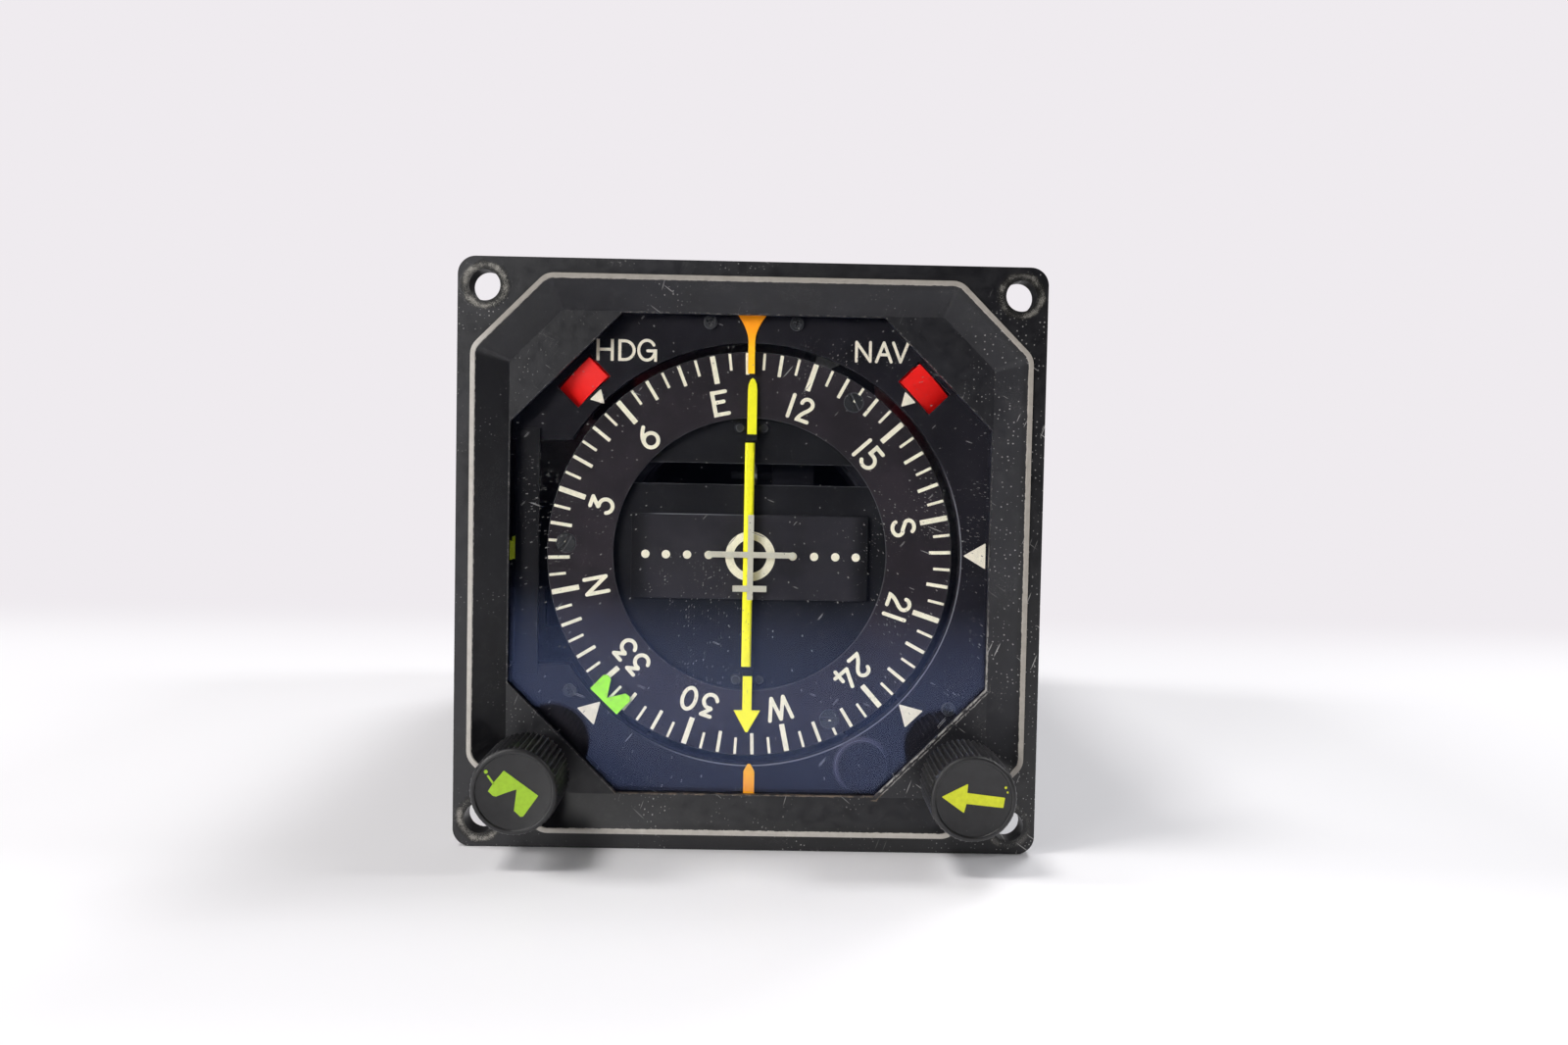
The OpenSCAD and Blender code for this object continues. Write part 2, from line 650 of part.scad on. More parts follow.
function flute_points(n, r, depth) = [for (i = [0 : n - 1])
    for (c = [[r - depth, -0.4], [r, -0.16], [r, 0.16], [r - depth, 0.4]])
    let (a = 360 / n * (i + c[1])) c[0] * [cos(a), sin(a)]];

module knob() difference() {
    union() {
        slab([knob_y[0] + 1.2, knob_y[1]]) polygon(flute_points(knob_flutes, knob_r, 0.35));
        rod([knob_y[0] + 0.5, knob_y[0] + 1.2], knob_r - 0.2);
        rod([knob_y[0], knob_y[0] + 0.5], knob_r - 0.2, [0, 0], knob_r - 0.5);
    }
    rod([knob_y[0] - 1, knob_y[0] + 0.3], knob_r - 1.1);
    rod([knob_y[0] + 4, knob_y[1] + 1], knob_shaft_r);
}

module heading_knob() color([0.2, 0.2, 0.2]) translate([-knob_x, 0, -knob_z]) knob();
module course_knob() color([0.2, 0.2, 0.2]) translate([knob_x, 0, -knob_z]) knob();

module knob_shaft(end, levels, phases) {
    rod([knob_y[0] + 4, front_frame_y[1] + 0.8], knob_shaft_r);
    rod([front_frame_y[1], end], knob_rod_r);
    for (k = [0 : len(levels) - 1]) gear(levels[k], knob_teeth, [0, 0], phases[k]);
}

diff_phase = meshed(ring_teeth, 0, diff_ang, diff_teeth);
cage_dir = atan2(-knob_z - diff_pos[1], knob_x - diff_pos[0]);
knob_phase = meshed(cage_teeth, 0, cage_dir, knob_teeth);
resolver_phase = meshed(knob_teeth, knob_phase, resolver_ang, resolver_teeth);
motor_phase = meshed(ring_teeth, 0, motor_ang, motor_teeth);

module heading_knob_shaft() color("gainsboro") heading_side() translate([knob_x, 0, -knob_z])
    knob_shaft(mid_frame_y[1] + 1, [cage_gear_y], [knob_phase]);

module course_knob_shaft() color("gainsboro") translate([knob_x, 0, -knob_z])
    knob_shaft(resolver_gear_y[1] + 1, [cage_gear_y, knob_gear_y], [knob_phase, knob_phase]);

// Drive of the card

module motor_pinion() color("gold") {
    gear([card_gear_y[0] + 0.2, card_gear_y[1] - 0.2], motor_teeth, motor_pos, motor_phase);
    rod([front_frame_y[0] + 0.5, 22], axle_r, motor_pos);
}

module azimuth_motor() color("dimgray") {
    difference() {
        union() {
            rod([18, 30], 8.6, motor_pos);
            rod([30, 51], 9.3, motor_pos);
        }
        rod([0, 22], axle_r + run, motor_pos);
    }
    tube([45, mid_frame_y[0]], motor_seat_r + 1.4, motor_seat_r - 0.3, motor_pos);
}

// Differentials: the output shaft runs inside the input sleeve, and the cage round both

module output_gear(y, shaft) {
    gear(y, diff_teeth, diff_pos, diff_phase);
    rod(shaft, axle_r, diff_pos);
}

module input_gear(front) difference() {
    union() {
        gear([card_gear_y[0] + 0.3, card_gear_y[1] - 0.3], diff_teeth, diff_pos, diff_phase);
        rod([card_gear_y[0] + 0.3, 22], 3, diff_pos);
        if (front) rod([front_frame_y[0] + 0.3, card_gear_y[0] + 0.4], axle_r, diff_pos);
    }
    rod([front ? 15 : 0, 40], axle_r + run, diff_pos);
}

module cage(rear_bore) difference() {
    union() {
        rod(cage_y, 6, diff_pos);
        gear(cage_gear_y, cage_teeth, diff_pos, 0);
        rod([cage_y[1], cage_gear_y[0]], 3.4, diff_pos);
        if (!rear_bore) rod([cage_gear_y[1], mid_frame_y[1] + 0.5], axle_r, diff_pos);
    }
    rod([0, cage_y[0] + 2], 3 + run, diff_pos);
    rod([cage_y[0] + 1.2, cage_y[1] - 1.2], 5, diff_pos);
    if (rear_bore) rod([22, 40], axle_r + run, diff_pos);
}

module heading_input_gear() color("gold") heading_side() input_gear(false);
module heading_output_gear() color("goldenrod") heading_side()
    output_gear([bug_gear_y[0] + 0.3, bug_gear_y[1] - 0.3], [front_frame_y[0] + 0.3, 24]);
module heading_differential() color("peru") heading_side() cage(false);
module course_input_gear() color("gold") input_gear(true);
module course_output_gear() color("goldenrod") output_gear(out_rear_y, [15.5, out_rear_y[1] + 0.6]);
module course_differential() color("peru") cage(true);

module resolver_gear() color("gold") {
    gear(resolver_gear_y, resolver_teeth, resolver_pos, resolver_phase);
    rod([resolver_gear_y[0], 68], axle_r, resolver_pos);
}

module course_resolver() color("dimgray") difference() {
    union() {
        rod([61, 92], 11, resolver_pos);
        slab([92, rear_frame_y[0]]) translate(resolver_pos - [4, 4]) square([8, 8]);
    }
    rod([60, 70], axle_r + run, resolver_pos);
}

// Electrical parts

module brush_block() color([0.5, 0.35, 0.2]) {
    translate([-8, slip_y[0], 11.5]) cube([16, slip_y[1] - slip_y[0], 8]);
    for (k = [0 : 9]) translate([-0.3, slip_y[0] + 1.95 + 3 * k, 8.2]) cube([0.6, 0.6, 3.3]);
    translate([-6, slip_y[1], 11.5]) cube([12, rear_frame_y[0] - slip_y[1], 8]);
}

module circuit_boards() for (x = [-1, 1]) {
    color("darkgreen") translate([x * board_x - 0.8, rear_frame_y[0], -24.5]) cube([1.6, 64, 49]);
    color("dimgray") for (k = [0 : 3]) {
        translate([x * 22, 126 + 13 * k, 12]) rotate([0, 90, 0]) cylinder(h = 14.4, r = 4, center = true);
        translate([x * 29.2 - (x > 0 ? 6 : 0), 122 + 13 * k, -18]) cube([6, 8, 10]);
    }
}

bezel();
window_glass();
window_gasket();
mask();
mask_screws();
glideslope_scale();
upper_lubber();
lower_lubber();
front_frame();
mid_frame();
rear_frame();
frame_posts();
case();
rear_plate();
case_screws();
rear_connectors();
shaft_bushings();
frame_bearings();
azimuth_motor();
synchro_stator();
course_resolver();
glideslope_meter();
flag_meters();
brush_block();
circuit_boards();
azimuth_card();
card_screws();
card_drum();
card_gear();
synchro_rotor();
course_bearing();
heading_bug();
bug_gear();
course_disc();
deviation_scale();
course_pointer();
pointer_screws();
course_drum();
course_shaft();
course_gear();
slip_rings();
deviation_meter();
to_from_meter();
deviation_bar();
to_from_vane();
glideslope_pointer();
heading_flag();
nav_flag();
heading_knob();
heading_knob_shaft();
course_knob();
course_knob_shaft();
motor_pinion();
heading_input_gear();
heading_output_gear();
heading_differential();
course_input_gear();
course_output_gear();
course_differential();
resolver_gear();
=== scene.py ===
"""Looks of a horizontal situation indicator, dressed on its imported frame.

Sizes are millimetres and angles are degrees unless a name says otherwise. +X is right, +Y goes
into the instrument and +Z is up. Meshes are written in metres, each piece with its object at the
origin and its place in its mesh.
"""

from __future__ import annotations

import json
import logging
import math
from collections.abc import Sequence
from dataclasses import dataclass, field
from enum import Enum
from functools import lru_cache, partialmethod
from typing import Union

import bmesh
import bpy
import numpy as np
from mathutils import Matrix, Vector


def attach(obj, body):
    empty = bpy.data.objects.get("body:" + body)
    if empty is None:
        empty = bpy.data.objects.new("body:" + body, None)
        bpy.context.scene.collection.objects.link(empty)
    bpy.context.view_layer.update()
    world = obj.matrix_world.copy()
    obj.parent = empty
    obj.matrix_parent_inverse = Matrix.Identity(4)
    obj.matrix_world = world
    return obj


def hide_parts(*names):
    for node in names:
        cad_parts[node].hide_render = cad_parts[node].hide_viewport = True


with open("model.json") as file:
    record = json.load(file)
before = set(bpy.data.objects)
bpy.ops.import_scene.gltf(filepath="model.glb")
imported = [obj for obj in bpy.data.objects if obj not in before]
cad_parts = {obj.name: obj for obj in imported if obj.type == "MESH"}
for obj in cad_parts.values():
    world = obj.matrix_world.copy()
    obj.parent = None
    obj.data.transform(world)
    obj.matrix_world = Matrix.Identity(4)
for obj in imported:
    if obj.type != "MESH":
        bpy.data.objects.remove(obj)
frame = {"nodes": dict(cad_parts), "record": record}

log = logging.getLogger("indicator")

MM = 0.001
SAME_POINT = 1e-6  # millimetres
WELD = 1e-6  # metres
FLAT = 0.5  # degrees
GROOVE_POWER = 0.8
Colour = tuple[float, float, float]
Point = tuple[float, float]
Triple = tuple[float, float, float]
Box = tuple[float, float, float, float]


def srgb(red: float, green: float, blue: float) -> Colour:
    """Turns a display colour from 0 to 255 into scene-linear values.

    Args:
        red: The red level.
        green: The green level.
        blue: The blue level.

    Returns:
        The colour from 0 to 1.
    """
    levels = np.array([red, green, blue]) / 255
    linear = np.where(levels <= 0.04045, levels / 12.92, ((levels + 0.055) / 1.055) ** 2.4)
    return tuple(float(level) for level in linear)


# Shapes


@dataclass(frozen=True)
class Surface:
    """Points in millimetres, with groups of faces that have equal corner counts."""

    points: np.ndarray
    faces: tuple[np.ndarray, ...]
    ridge: np.ndarray | None = None

    def mesh(self, name: str) -> bpy.types.Mesh:
        """Writes the surface into a new mesh, in metres.

        Args:
            name: The mesh's name.

        Returns:
            The mesh.
        """
        mesh = bpy.data.meshes.new(name)
        faces = [face for group in self.faces for face in group.tolist()]
        mesh.from_pydata((self.points * MM).tolist(), [], faces, shade_flat=False)
        if self.ridge is not None:
            layer = mesh.attributes.new("ridge", "FLOAT", "POINT")
            layer.data.foreach_set("value", self.ridge.astype(np.float32).ravel())
        return mesh


def joined(parts: Sequence[Surface]) -> Surface:
    """Puts several surfaces into one, each face group shifted past the points before it.

    Args:
        parts: The surfaces.

    Returns:
        The one surface.
    """
    shifts = np.cumsum([0] + [len(part.points) for part in parts[:-1]])
    faces = tuple(group + shift for part, shift in zip(parts, shifts) for group in part.faces)
    return Surface(np.concatenate([part.points for part in parts]), faces)


def clockwise(surface: Surface, angle: float, radius: float) -> Surface:
    """Moves a surface out to a radius and turns it clockwise, as seen from in front.

    A point (x, z) goes to the outward direction times (radius + z), plus the sideways
    direction times x.

    Args:
        surface: The surface, drawn upright round the origin.
        angle: The clockwise angle from the top.
        radius: The distance of its origin from the axis.

    Returns:
        The turned surface.
    """
    sine, cosine = math.sin(math.radians(angle)), math.cos(math.radians(angle))
    x, y, z = surface.points.T
    out = radius + z
    turned = np.stack([sine * out + cosine * x, y, cosine * out - sine * x], axis=1)
    return Surface(turned, surface.faces)


def arc(centre: Sequence[float], radii: Sequence[float], start: float, end: float,
        steps: int = 18) -> np.ndarray:
    """Gives points along an elliptical arc: the centre plus the radii times (cos a, sin a)."""
    angle = np.radians(np.linspace(start, end, steps + 1))
    return np.stack([centre[0] + radii[0] * np.cos(angle), centre[1] + radii[1] * np.sin(angle)], 1)


def at_levels(outline: np.ndarray, levels: Sequence[float]) -> np.ndarray:
    """Sets points of X and Z at each level of Y in turn."""
    rows = [np.insert(outline, 1, level, axis=1) for level in levels]
    return np.concatenate(rows)


def prism(outline: np.ndarray, front: float, back: float) -> Surface:
    """Runs a counter-clockwise outline in X and Z from one level along Y to another.

    The two ends are single faces. Each side joins an edge at the front level to the same edge
    at the back level.

    Args:
        outline: The outline's points, one row each.
        front: The front level.
        back: The back level.

    Returns:
        The closed surface.
    """
    count = len(outline)
    index = np.arange(count)
    after = np.roll(index, -1)
    sides = np.stack([after, index, index + count, after + count], axis=1)
    faces = (index[None, :], index[None, ::-1] + count, sides)
    return Surface(at_levels(outline, (front, back)), faces)


def rounded(outline: Sequence[Sequence[float]], radii: Union[float, Sequence[float]],
            steps: int = 4) -> np.ndarray:
    """Rounds the corners of an outline by arcs that touch both sides.

    An arc's centre lies on the corner's bisector; it starts and ends at the radius times the
    tangent of half the turn from the corner.

    Args:
        outline: The corners, in order.
        radii: One radius, or one for each corner; a radius of zero keeps the corner.
        steps: The edges of each arc.

    Returns:
        The rounded outline's points.
    """
    corners = np.asarray(outline, float)
    radius = np.broadcast_to(np.asarray(radii, float), len(corners))[:, None]
    into = corners - np.roll(corners, 1, axis=0)
    into /= np.linalg.norm(into, axis=1, keepdims=True)
    out = np.roll(into, -1, axis=0)
    turn = np.arctan2(into[:, 0] * out[:, 1] - into[:, 1] * out[:, 0], (into * out).sum(1))[:, None]
    side = np.sign(turn) * np.stack([-into[:, 1], into[:, 0]], 1)
    start = corners - into * radius * np.abs(np.tan(turn / 2))
    swept = np.abs(turn) * np.linspace(0, 1, steps + 1)[None, :]
    along = radius * np.sin(swept)
    across = radius * (1 - np.cos(swept))
    points = start[:, None] + along[..., None] * into[:, None] + across[..., None] * side[:, None]
    points = points.reshape(-1, 2)
    gap = np.linalg.norm(points - np.roll(points, 1, axis=0), axis=1)
    return points[gap > SAME_POINT]


def turned(profile: Sequence[Sequence[float]], at: Sequence[float], columns: int = 64,
           flutes: int = 0) -> Surface:
    """Turns a profile about an axis along Y.

    At angle a, a profile row (y, r, depth) has the radius r - depth * w, where w goes from 0 on
    a ridge to 1 in a groove as a rounded wave with the given count of flutes. The first and last
    rings are closed by flat faces.

    Args:
        profile: Rows of level, radius and, if fluted, groove depth, from front to back.
        at: The axis in X and Z.
        columns: The points of each ring.
        flutes: The count of grooves round the axis.

    Returns:
        The closed surface; its ridge values are 1 on ridges and 0 in grooves.
    """
    rows = np.array([tuple(row) + (0.0,) * (3 - len(row)) for row in profile])
    angle = np.linspace(0, 2 * np.pi, columns, endpoint=False)
    wave = (0.5 - 0.5 * np.cos(flutes * angle)) ** GROOVE_POWER if flutes else np.zeros(columns)
    radius = rows[:, 1, None] - rows[:, 2, None] * wave
    level = np.broadcast_to(rows[:, 0, None], radius.shape)
    points = np.stack([at[0] + radius * np.cos(angle), level, at[1] + radius * np.sin(angle)], -1)
    ring = np.arange(columns)
    after = np.roll(ring, -1)
    first = np.arange(len(rows) - 1)[:, None] * columns
    sides = np.stack([first + after, first + ring, first + columns + ring,
                      first + columns + after], -1)
    ends = (ring[None, :], ring[None, ::-1] + (len(rows) - 1) * columns)
    ridge = np.where(rows[:, 2, None] > 0, 1 - wave, 0.5)
    return Surface(points.reshape(-1, 3), ends + (sides.reshape(-1, 4),), ridge)


def plate_from_field(x: np.ndarray, z: np.ndarray, values: np.ndarray,
                     levels: Sequence[float]) -> Surface:
    """Cuts a flat plate out where a field on a grid is negative.

    Each grid cell keeps the part inside: its inside corners, and the points on its edges where
    the field is zero, found by linear interpolation. Walls stand on the lines that join the
    points where the walk round a cell leaves the inside and comes back.

    Args:
        x: The grid's places along X.
        z: The grid's places along Z.
        values: The field, one row for each place along Z.
        levels: The front and back levels along Y.

    Returns:
        The closed plate.
    """
    across, up = np.meshgrid(x, z)
    inside = values < 0

    def zero(first: np.ndarray, second: np.ndarray) -> np.ndarray:
        """Share of an edge, from its first end, at which the field is zero."""
        gap = np.where(first == second, 1, first - second)
        return np.clip(first / gap, 0, 1)

    share_x = zero(values[:, :-1], values[:, 1:])
    share_z = zero(values[:-1], values[1:])
    places = np.concatenate([
        np.stack([across, up], -1).reshape(-1, 2),
        np.stack([across[:, :-1] + share_x * np.diff(across), up[:, :-1]], -1).reshape(-1, 2),
        np.stack([across[:-1], up[:-1] + share_z * np.diff(up, axis=0)], -1).reshape(-1, 2)])
    corner = np.arange(values.size).reshape(values.shape)
    on_x = values.size + np.arange(share_x.size).reshape(share_x.shape)
    on_z = values.size + share_x.size + np.arange(share_z.size).reshape(share_z.shape)
    corners = [corner[:-1, :-1], corner[:-1, 1:], corner[1:, 1:], corner[1:, :-1]]
    edges = [on_x[:-1], on_z[:, 1:], on_x[1:], on_z[:, :-1]]
    code = sum(inside.ravel()[number].astype(int) << k for k, number in enumerate(corners))
    caps: list[np.ndarray] = []
    walls: list[np.ndarray] = []
    for case in range(1, 16):
        cells = code == case
        if not cells.any():
            continue
        held = [bool(case >> k & 1) for k in range(4)]
        crossed = [k for k in range(4) if held[k] != held[(k + 1) % 4]]
        walk = [part[k] for k in range(4) for part, used in
                ((corners, held[k]), (edges, k in crossed)) if used]
        caps.append(np.stack([part[cells] for part in walk], axis=1))
        for order, k in enumerate(crossed):
            if held[k]:
                back = crossed[(order + 1) % len(crossed)]
                walls.append(np.stack([edges[k][cells], edges[back][cells]], axis=1))
    used = np.unique(np.concatenate([cap.ravel() for cap in caps]))
    count = len(used)
    caps = [np.searchsorted(used, cap) for cap in caps]
    start, end = np.searchsorted(used, np.concatenate(walls)).T
    sides = np.stack([end, start, start + count, end + count], axis=1)
    return Surface(at_levels(places[used], levels),
                   (*caps, *(cap[:, ::-1] + count for cap in caps), sides))


@dataclass(frozen=True)
class Glyph:
    """A routed sign: centre lines of even width with round ends, and squared blocks.

    Its field is the distance to the nearest centre line less half the width, or the signed
    distance to a block, whichever is lower.
    """

    lines: tuple[tuple[Point, ...], ...]
    blocks: tuple[Box, ...] = ()

    def field(self, x: np.ndarray, z: np.ndarray, half: float) -> np.ndarray:
        """Gives the sign's signed distance on a grid.

        Args:
            x: The places along X, as a grid.
            z: The places along Z, as a grid.
            half: Half the width of a line.

        Returns:
            The field, negative inside the sign.
        """
        nearest = np.full(x.shape, np.inf)
        for line in self.lines:
            first, second = np.array(line[:-1]), np.array(line[1:])
            run = second - first
            from_x, from_z = x[..., None] - first[:, 0], z[..., None] - first[:, 1]
            share = np.clip((from_x * run[:, 0] + from_z * run[:, 1]) / (run ** 2).sum(1), 0, 1)
            gap = np.hypot(from_x - share * run[:, 0], from_z - share * run[:, 1]).min(-1)
            nearest = np.minimum(nearest, gap - half)
        for left, low, right, high in self.blocks:
            out_x = np.abs(x - (left + right) / 2) - (right - left) / 2
            out_z = np.abs(z - (low + high) / 2) - (high - low) / 2
            outside = np.hypot(np.maximum(out_x, 0), np.maximum(out_z, 0))
            nearest = np.minimum(nearest, outside + np.minimum(np.maximum(out_x, out_z), 0))
        return nearest

    def plate(self, half: float, levels: Sequence[float], shift: float = 0,
              step: float = 0.09) -> Surface:
        """Cuts the sign as a thin plate on a grid that reaches just past it.

        Args:
            half: Half the width of a line.
            levels: The front and back levels along Y.
            shift: How far the plate then moves along X.
            step: The grid's step.

        Returns:
            The closed plate.
        """
        ends = np.array([point for line in self.lines for point in line]
                        + [point for block in self.blocks for point in (block[:2], block[2:])])
        low, high = ends.min(0) - half - 2 * step, ends.max(0) + half + 2 * step
        x, z = np.arange(low[0], high[0], step), np.arange(low[1], high[1], step)
        plate = plate_from_field(x, z, self.field(*np.meshgrid(x, z), half), levels)
        return Surface(plate.points + np.array([shift, 0, 0]), plate.faces)


def line(*parts: Union[Sequence[float], np.ndarray]) -> tuple[Point, ...]:
    """Strings single points and arcs into one centre line."""
    rows = np.concatenate([np.atleast_2d(np.asarray(part, float)) for part in parts])
    return tuple((float(x), float(z)) for x, z in rows)


# Half the height of a numeral's centre lines.
TOP = 2.03
NUMERALS: dict[str, Glyph] = {
    "0": Glyph((line(arc((0, 0), (1.22, TOP), 0, 360, 40)),)),
    "1": Glyph((line((0, -TOP), (0, TOP)),)),
    "2": Glyph((line(arc((0, 1.05), (1.02, 0.98), 178, -28), (0.52, 0.06), (-0.1, -0.55),
                     (-0.6, -1.15), (-0.88, -1.65), (-1, -TOP), (0.96, -TOP)),),
               ((-1.37, -2.4, -0.9, -1.9),)),
    "3": Glyph((line((-1, TOP), (0.8, TOP), (-0.7, 0.6),
                     arc((-0.2, -0.75), (1.26, 1.28), 105, -160)),)),
    "4": Glyph((line((-0.15, TOP), (-1.42, -1.13), (1.38, -1.13)),
                line((0.58, 0.2), (0.58, -TOP)))),
    "5": Glyph((line((0.75, TOP), (-0.98, TOP), (-0.98, 0.5),
                     arc((-0.2, -0.77), (1.27, 1.26), 88, -145)),), ((-1.36, 0.2, -0.62, 2.4),)),
    "6": Glyph((line((0.45, TOP), (-0.1, 1.6), (-0.62, 1.08), (-1.02, 0.52), (-1.26, -0.08),
                     arc((0, -0.7), (1.33, 1.33), 160, 510, 40)),)),
    "N": Glyph((line((-1.38, -TOP), (-1.38, TOP), (1.38, -TOP), (1.38, TOP)),)),
    "E": Glyph((line((-1.2, TOP), (1.22, TOP)), line((-1.2, 0.23), (0.62, 0.23)),
                line((-1.2, -TOP), (1.22, -TOP))), ((-1.6, -2.41, -0.85, 2.41),)),
    "S": Glyph((line(arc((-0.05, 1.1), (1.13, 0.93), 28, 212), (-0.45, 0.27), (0.4, -0.2),
                     arc((-0.02, -1.02), (1.28, 1.01), 48, -168)),)),
    "W": Glyph((line((-2.12, TOP), (-1.08, -TOP), (0, TOP), (1.12, -TOP), (2.12, TOP)),)),
}


# Node graphs


def scaled(colour: Colour, factor: float) -> Colour:
    """Makes a colour lighter or darker."""
    return tuple(min(1.0, channel * factor) for channel in colour)


class Field:
    """A value in a node graph. Sums with it add math nodes, and | takes the higher value."""

    def __init__(self, graph: Graph, socket: bpy.types.NodeSocket) -> None:
        """Holds a socket and the graph that it is in."""
        self.graph, self.socket = graph, socket

    def math(self, operation: str, other: Value = 0.0) -> Field:
        """Does one sum, with this value first."""
        return self.graph.get("Math", {0: self, 1: other}, operation=operation)

    def math_after(self, operation: str, other: float) -> Field:
        """Does one sum, with this value second."""
        return self.graph.get("Math", {0: other, 1: self}, operation=operation)

    __add__ = partialmethod(math, "ADD")
    __radd__ = partialmethod(math_after, "ADD")
    __sub__ = partialmethod(math, "SUBTRACT")
    __rsub__ = partialmethod(math_after, "SUBTRACT")
    __mul__ = partialmethod(math, "MULTIPLY")
    __truediv__ = partialmethod(math, "DIVIDE")
    __lt__ = partialmethod(math, "LESS_THAN")
    __or__ = partialmethod(math, "MAXIMUM")
    __abs__ = partialmethod(math, "ABSOLUTE")

    def parts(self, kind: str = "SeparateXYZ") -> tuple[Field, ...]:
        """Splits a vector, or with SeparateColor a colour, into its three parts."""
        return tuple(Field(self.graph, out) for out in self.graph.add(kind, {0: self}).outputs)

    def ease(self, low: float, high: float, to: Sequence[float] = (0, 1)) -> Field:
        """Maps a value smoothly from one range to another, held at both ends."""
        return self.graph.get("MapRange", {0: self, 1: low, 2: high, 3: to[0], 4: to[1]},
                              interpolation_type="SMOOTHSTEP")

    def about(self, value: float, below: float, above: float) -> Field:
        """Spreads noise from a little below a value to a little above it."""
        return self.ease(0.2, 0.8, (value - below, value + above))

    def mix(self, first: Value, second: Value) -> Field:
        """Blends two colours by this share."""
        return self.graph.get("Mix", {0: self, 6: first, 7: second}, 2, data_type="RGBA")

    def shades(self, colour: Colour, low: float, high: float) -> Field:
        """Blends two shades of one colour by this share."""
        return self.mix(scaled(colour, low), scaled(colour, high))

    def noise(self, scale: float, detail: float = 3, rough: float = 0.55) -> Field:
        """Gives cloudy noise from 0 to 1 at this place."""
        return self.graph.get("TexNoise", {"Vector": self, "Scale": scale, "Detail": detail,
                                           "Roughness": rough})

    def specks(self, cells: float, radius: float, share: float, flat: bool = False) -> Field:
        """Gives spots of several sizes: in a share of the cells, 1 near the cell's point.

        Args:
            cells: The cells for each millimetre.
            radius: The largest spot's radius.
            share: The share of the cells with a spot.
            flat: Whether the cells are columns that stand on the place's first two axes.

        Returns:
            The spots at this place.
        """
        cell = self.graph.add("TexVoronoi", {"Vector": self, "Scale": cells},
                              voronoi_dimensions="2D" if flat else "3D")
        distance, tone = (Field(self.graph, cell.outputs[name]) for name in ("Distance", "Color"))
        pick, size, _ = tone.parts("SeparateColor")
        near = (distance / size.ease(0, 1, (0.35, 1))).ease(radius * cells, 0.55 * radius * cells)
        return near * (pick < share)


Value = Union[float, Sequence[float], Field]
Inputs = dict[Union[str, int], Value]


def length(first: Field, second: Field) -> Field:
    """Gives the length of a vector from its two parts."""
    return (first * first + second * second).math("SQRT")


class Graph:
    """A material's or the world's node graph."""

    def __init__(self, name: str, world: bpy.types.World | None = None) -> None:
        """Starts an empty graph with an output, in a new material or in a world.

        Args:
            name: The new material's name.
            world: The world, for a surround.
        """
        self.owner = world or bpy.data.materials.new(name)
        self.owner.use_nodes = True
        self.tree = self.owner.node_tree
        self.tree.nodes.clear()
        self.output = self.add("OutputWorld" if world else "OutputMaterial", {})

    def add(self, kind: str, inputs: Inputs, **settings: object) -> bpy.types.Node:
        """Adds a node.

        Args:
            kind: The node's type, less its first two words.
            inputs: What each named or numbered input gets: a link, or a value of its own.
            **settings: The node's own properties.

        Returns:
            The node.
        """
        node = self.tree.nodes.new("ShaderNode" + kind)
        for key, setting in settings.items():
            setattr(node, key, setting)
        for key, value in inputs.items():
            socket = node.inputs[key]
            if isinstance(value, Field):
                self.tree.links.new(value.socket, socket)
            else:
                opaque = socket.type == "RGBA" and len(value) == 3
                socket.default_value = (*value, 1) if opaque else value
        return node

    def get(self, kind: str, inputs: Inputs | None = None, output: Union[str, int] = 0,
            **settings: object) -> Field:
        """Adds a node and gives one of its outputs."""
        return Field(self, self.add(kind, inputs or {}, **settings).outputs[output])

    def place(self, scale: Sequence[float] = (1, 1, 1), turn: Sequence[float] = (0, 0, 0)) -> Field:
        """Gives the object coordinates in millimetres, turned and then stretched.

        Args:
            scale: How far each axis is drawn out.
            turn: The angle about each axis.

        Returns:
            The coordinates.
        """
        return self.get("Mapping", {"Vector": self.get("TexCoord", output="Object"),
                                    "Scale": tuple(MM / value for value in scale),
                                    "Rotation": tuple(math.radians(value) for value in turn)},
                        vector_type="TEXTURE")

    def fibres(self, turn: float, share: float) -> Field:
        """Gives short pale fibres that all lie one way, on a face that looks to the front."""
        return self.place((0.2, 3.2, 1), (90, turn, 0)).specks(0.5, 0.34, share, flat=True)

    def hairs(self, along: float, across: float, turn: float, amount: float) -> Field:
        """Gives fine scratches: the thin crests of noise drawn out along one direction.

        Args:
            along: How far the noise is drawn out along a scratch.
            across: How far it is drawn out across a scratch.
            turn: The scratches' angle about Y.
            amount: How many there are, from 0 to 1.

        Returns:
            The scratches, 1 on a crest.
        """
        crest = abs(self.place((across, across, along), (0, turn, 0)).noise(1, 2) - 0.5)
        where = self.place().noise(0.12, 2).ease(0.62 - 0.2 * amount, 0.72)
        return crest.ease(0.006, 0.001) * where

    def finish(self, shader: Field) -> bpy.types.Material:
        """Links the shader to the output and gives the material."""
        self.tree.links.new(shader.socket, self.output.inputs["Surface"])
        return self.owner


@dataclass
class Coat:
    """A surface as it is built up; the height's full depth is in millimetres."""

    place: Field
    colour: Value
    rough: Value
    metal: Value
    height: Field
    depth: float
    more: Inputs = field(default_factory=dict)

    def tint(self, share: Field, colour: Value) -> None:
        """Lays a colour over the coat by a share."""
        self.colour = share.mix(self.colour, colour)

    def shader(self) -> Field:
        """Adds the surface shader.

        Returns:
            The shader's output.
        """
        graph = self.place.graph
        bump = graph.get("Bump", {"Height": self.height, "Distance": self.depth * MM,
                                  "Strength": 1})
        return graph.get("BsdfPrincipled", {"Base Color": self.colour, "Roughness": self.rough,
                                            "Metallic": self.metal, "Normal": bump, **self.more})


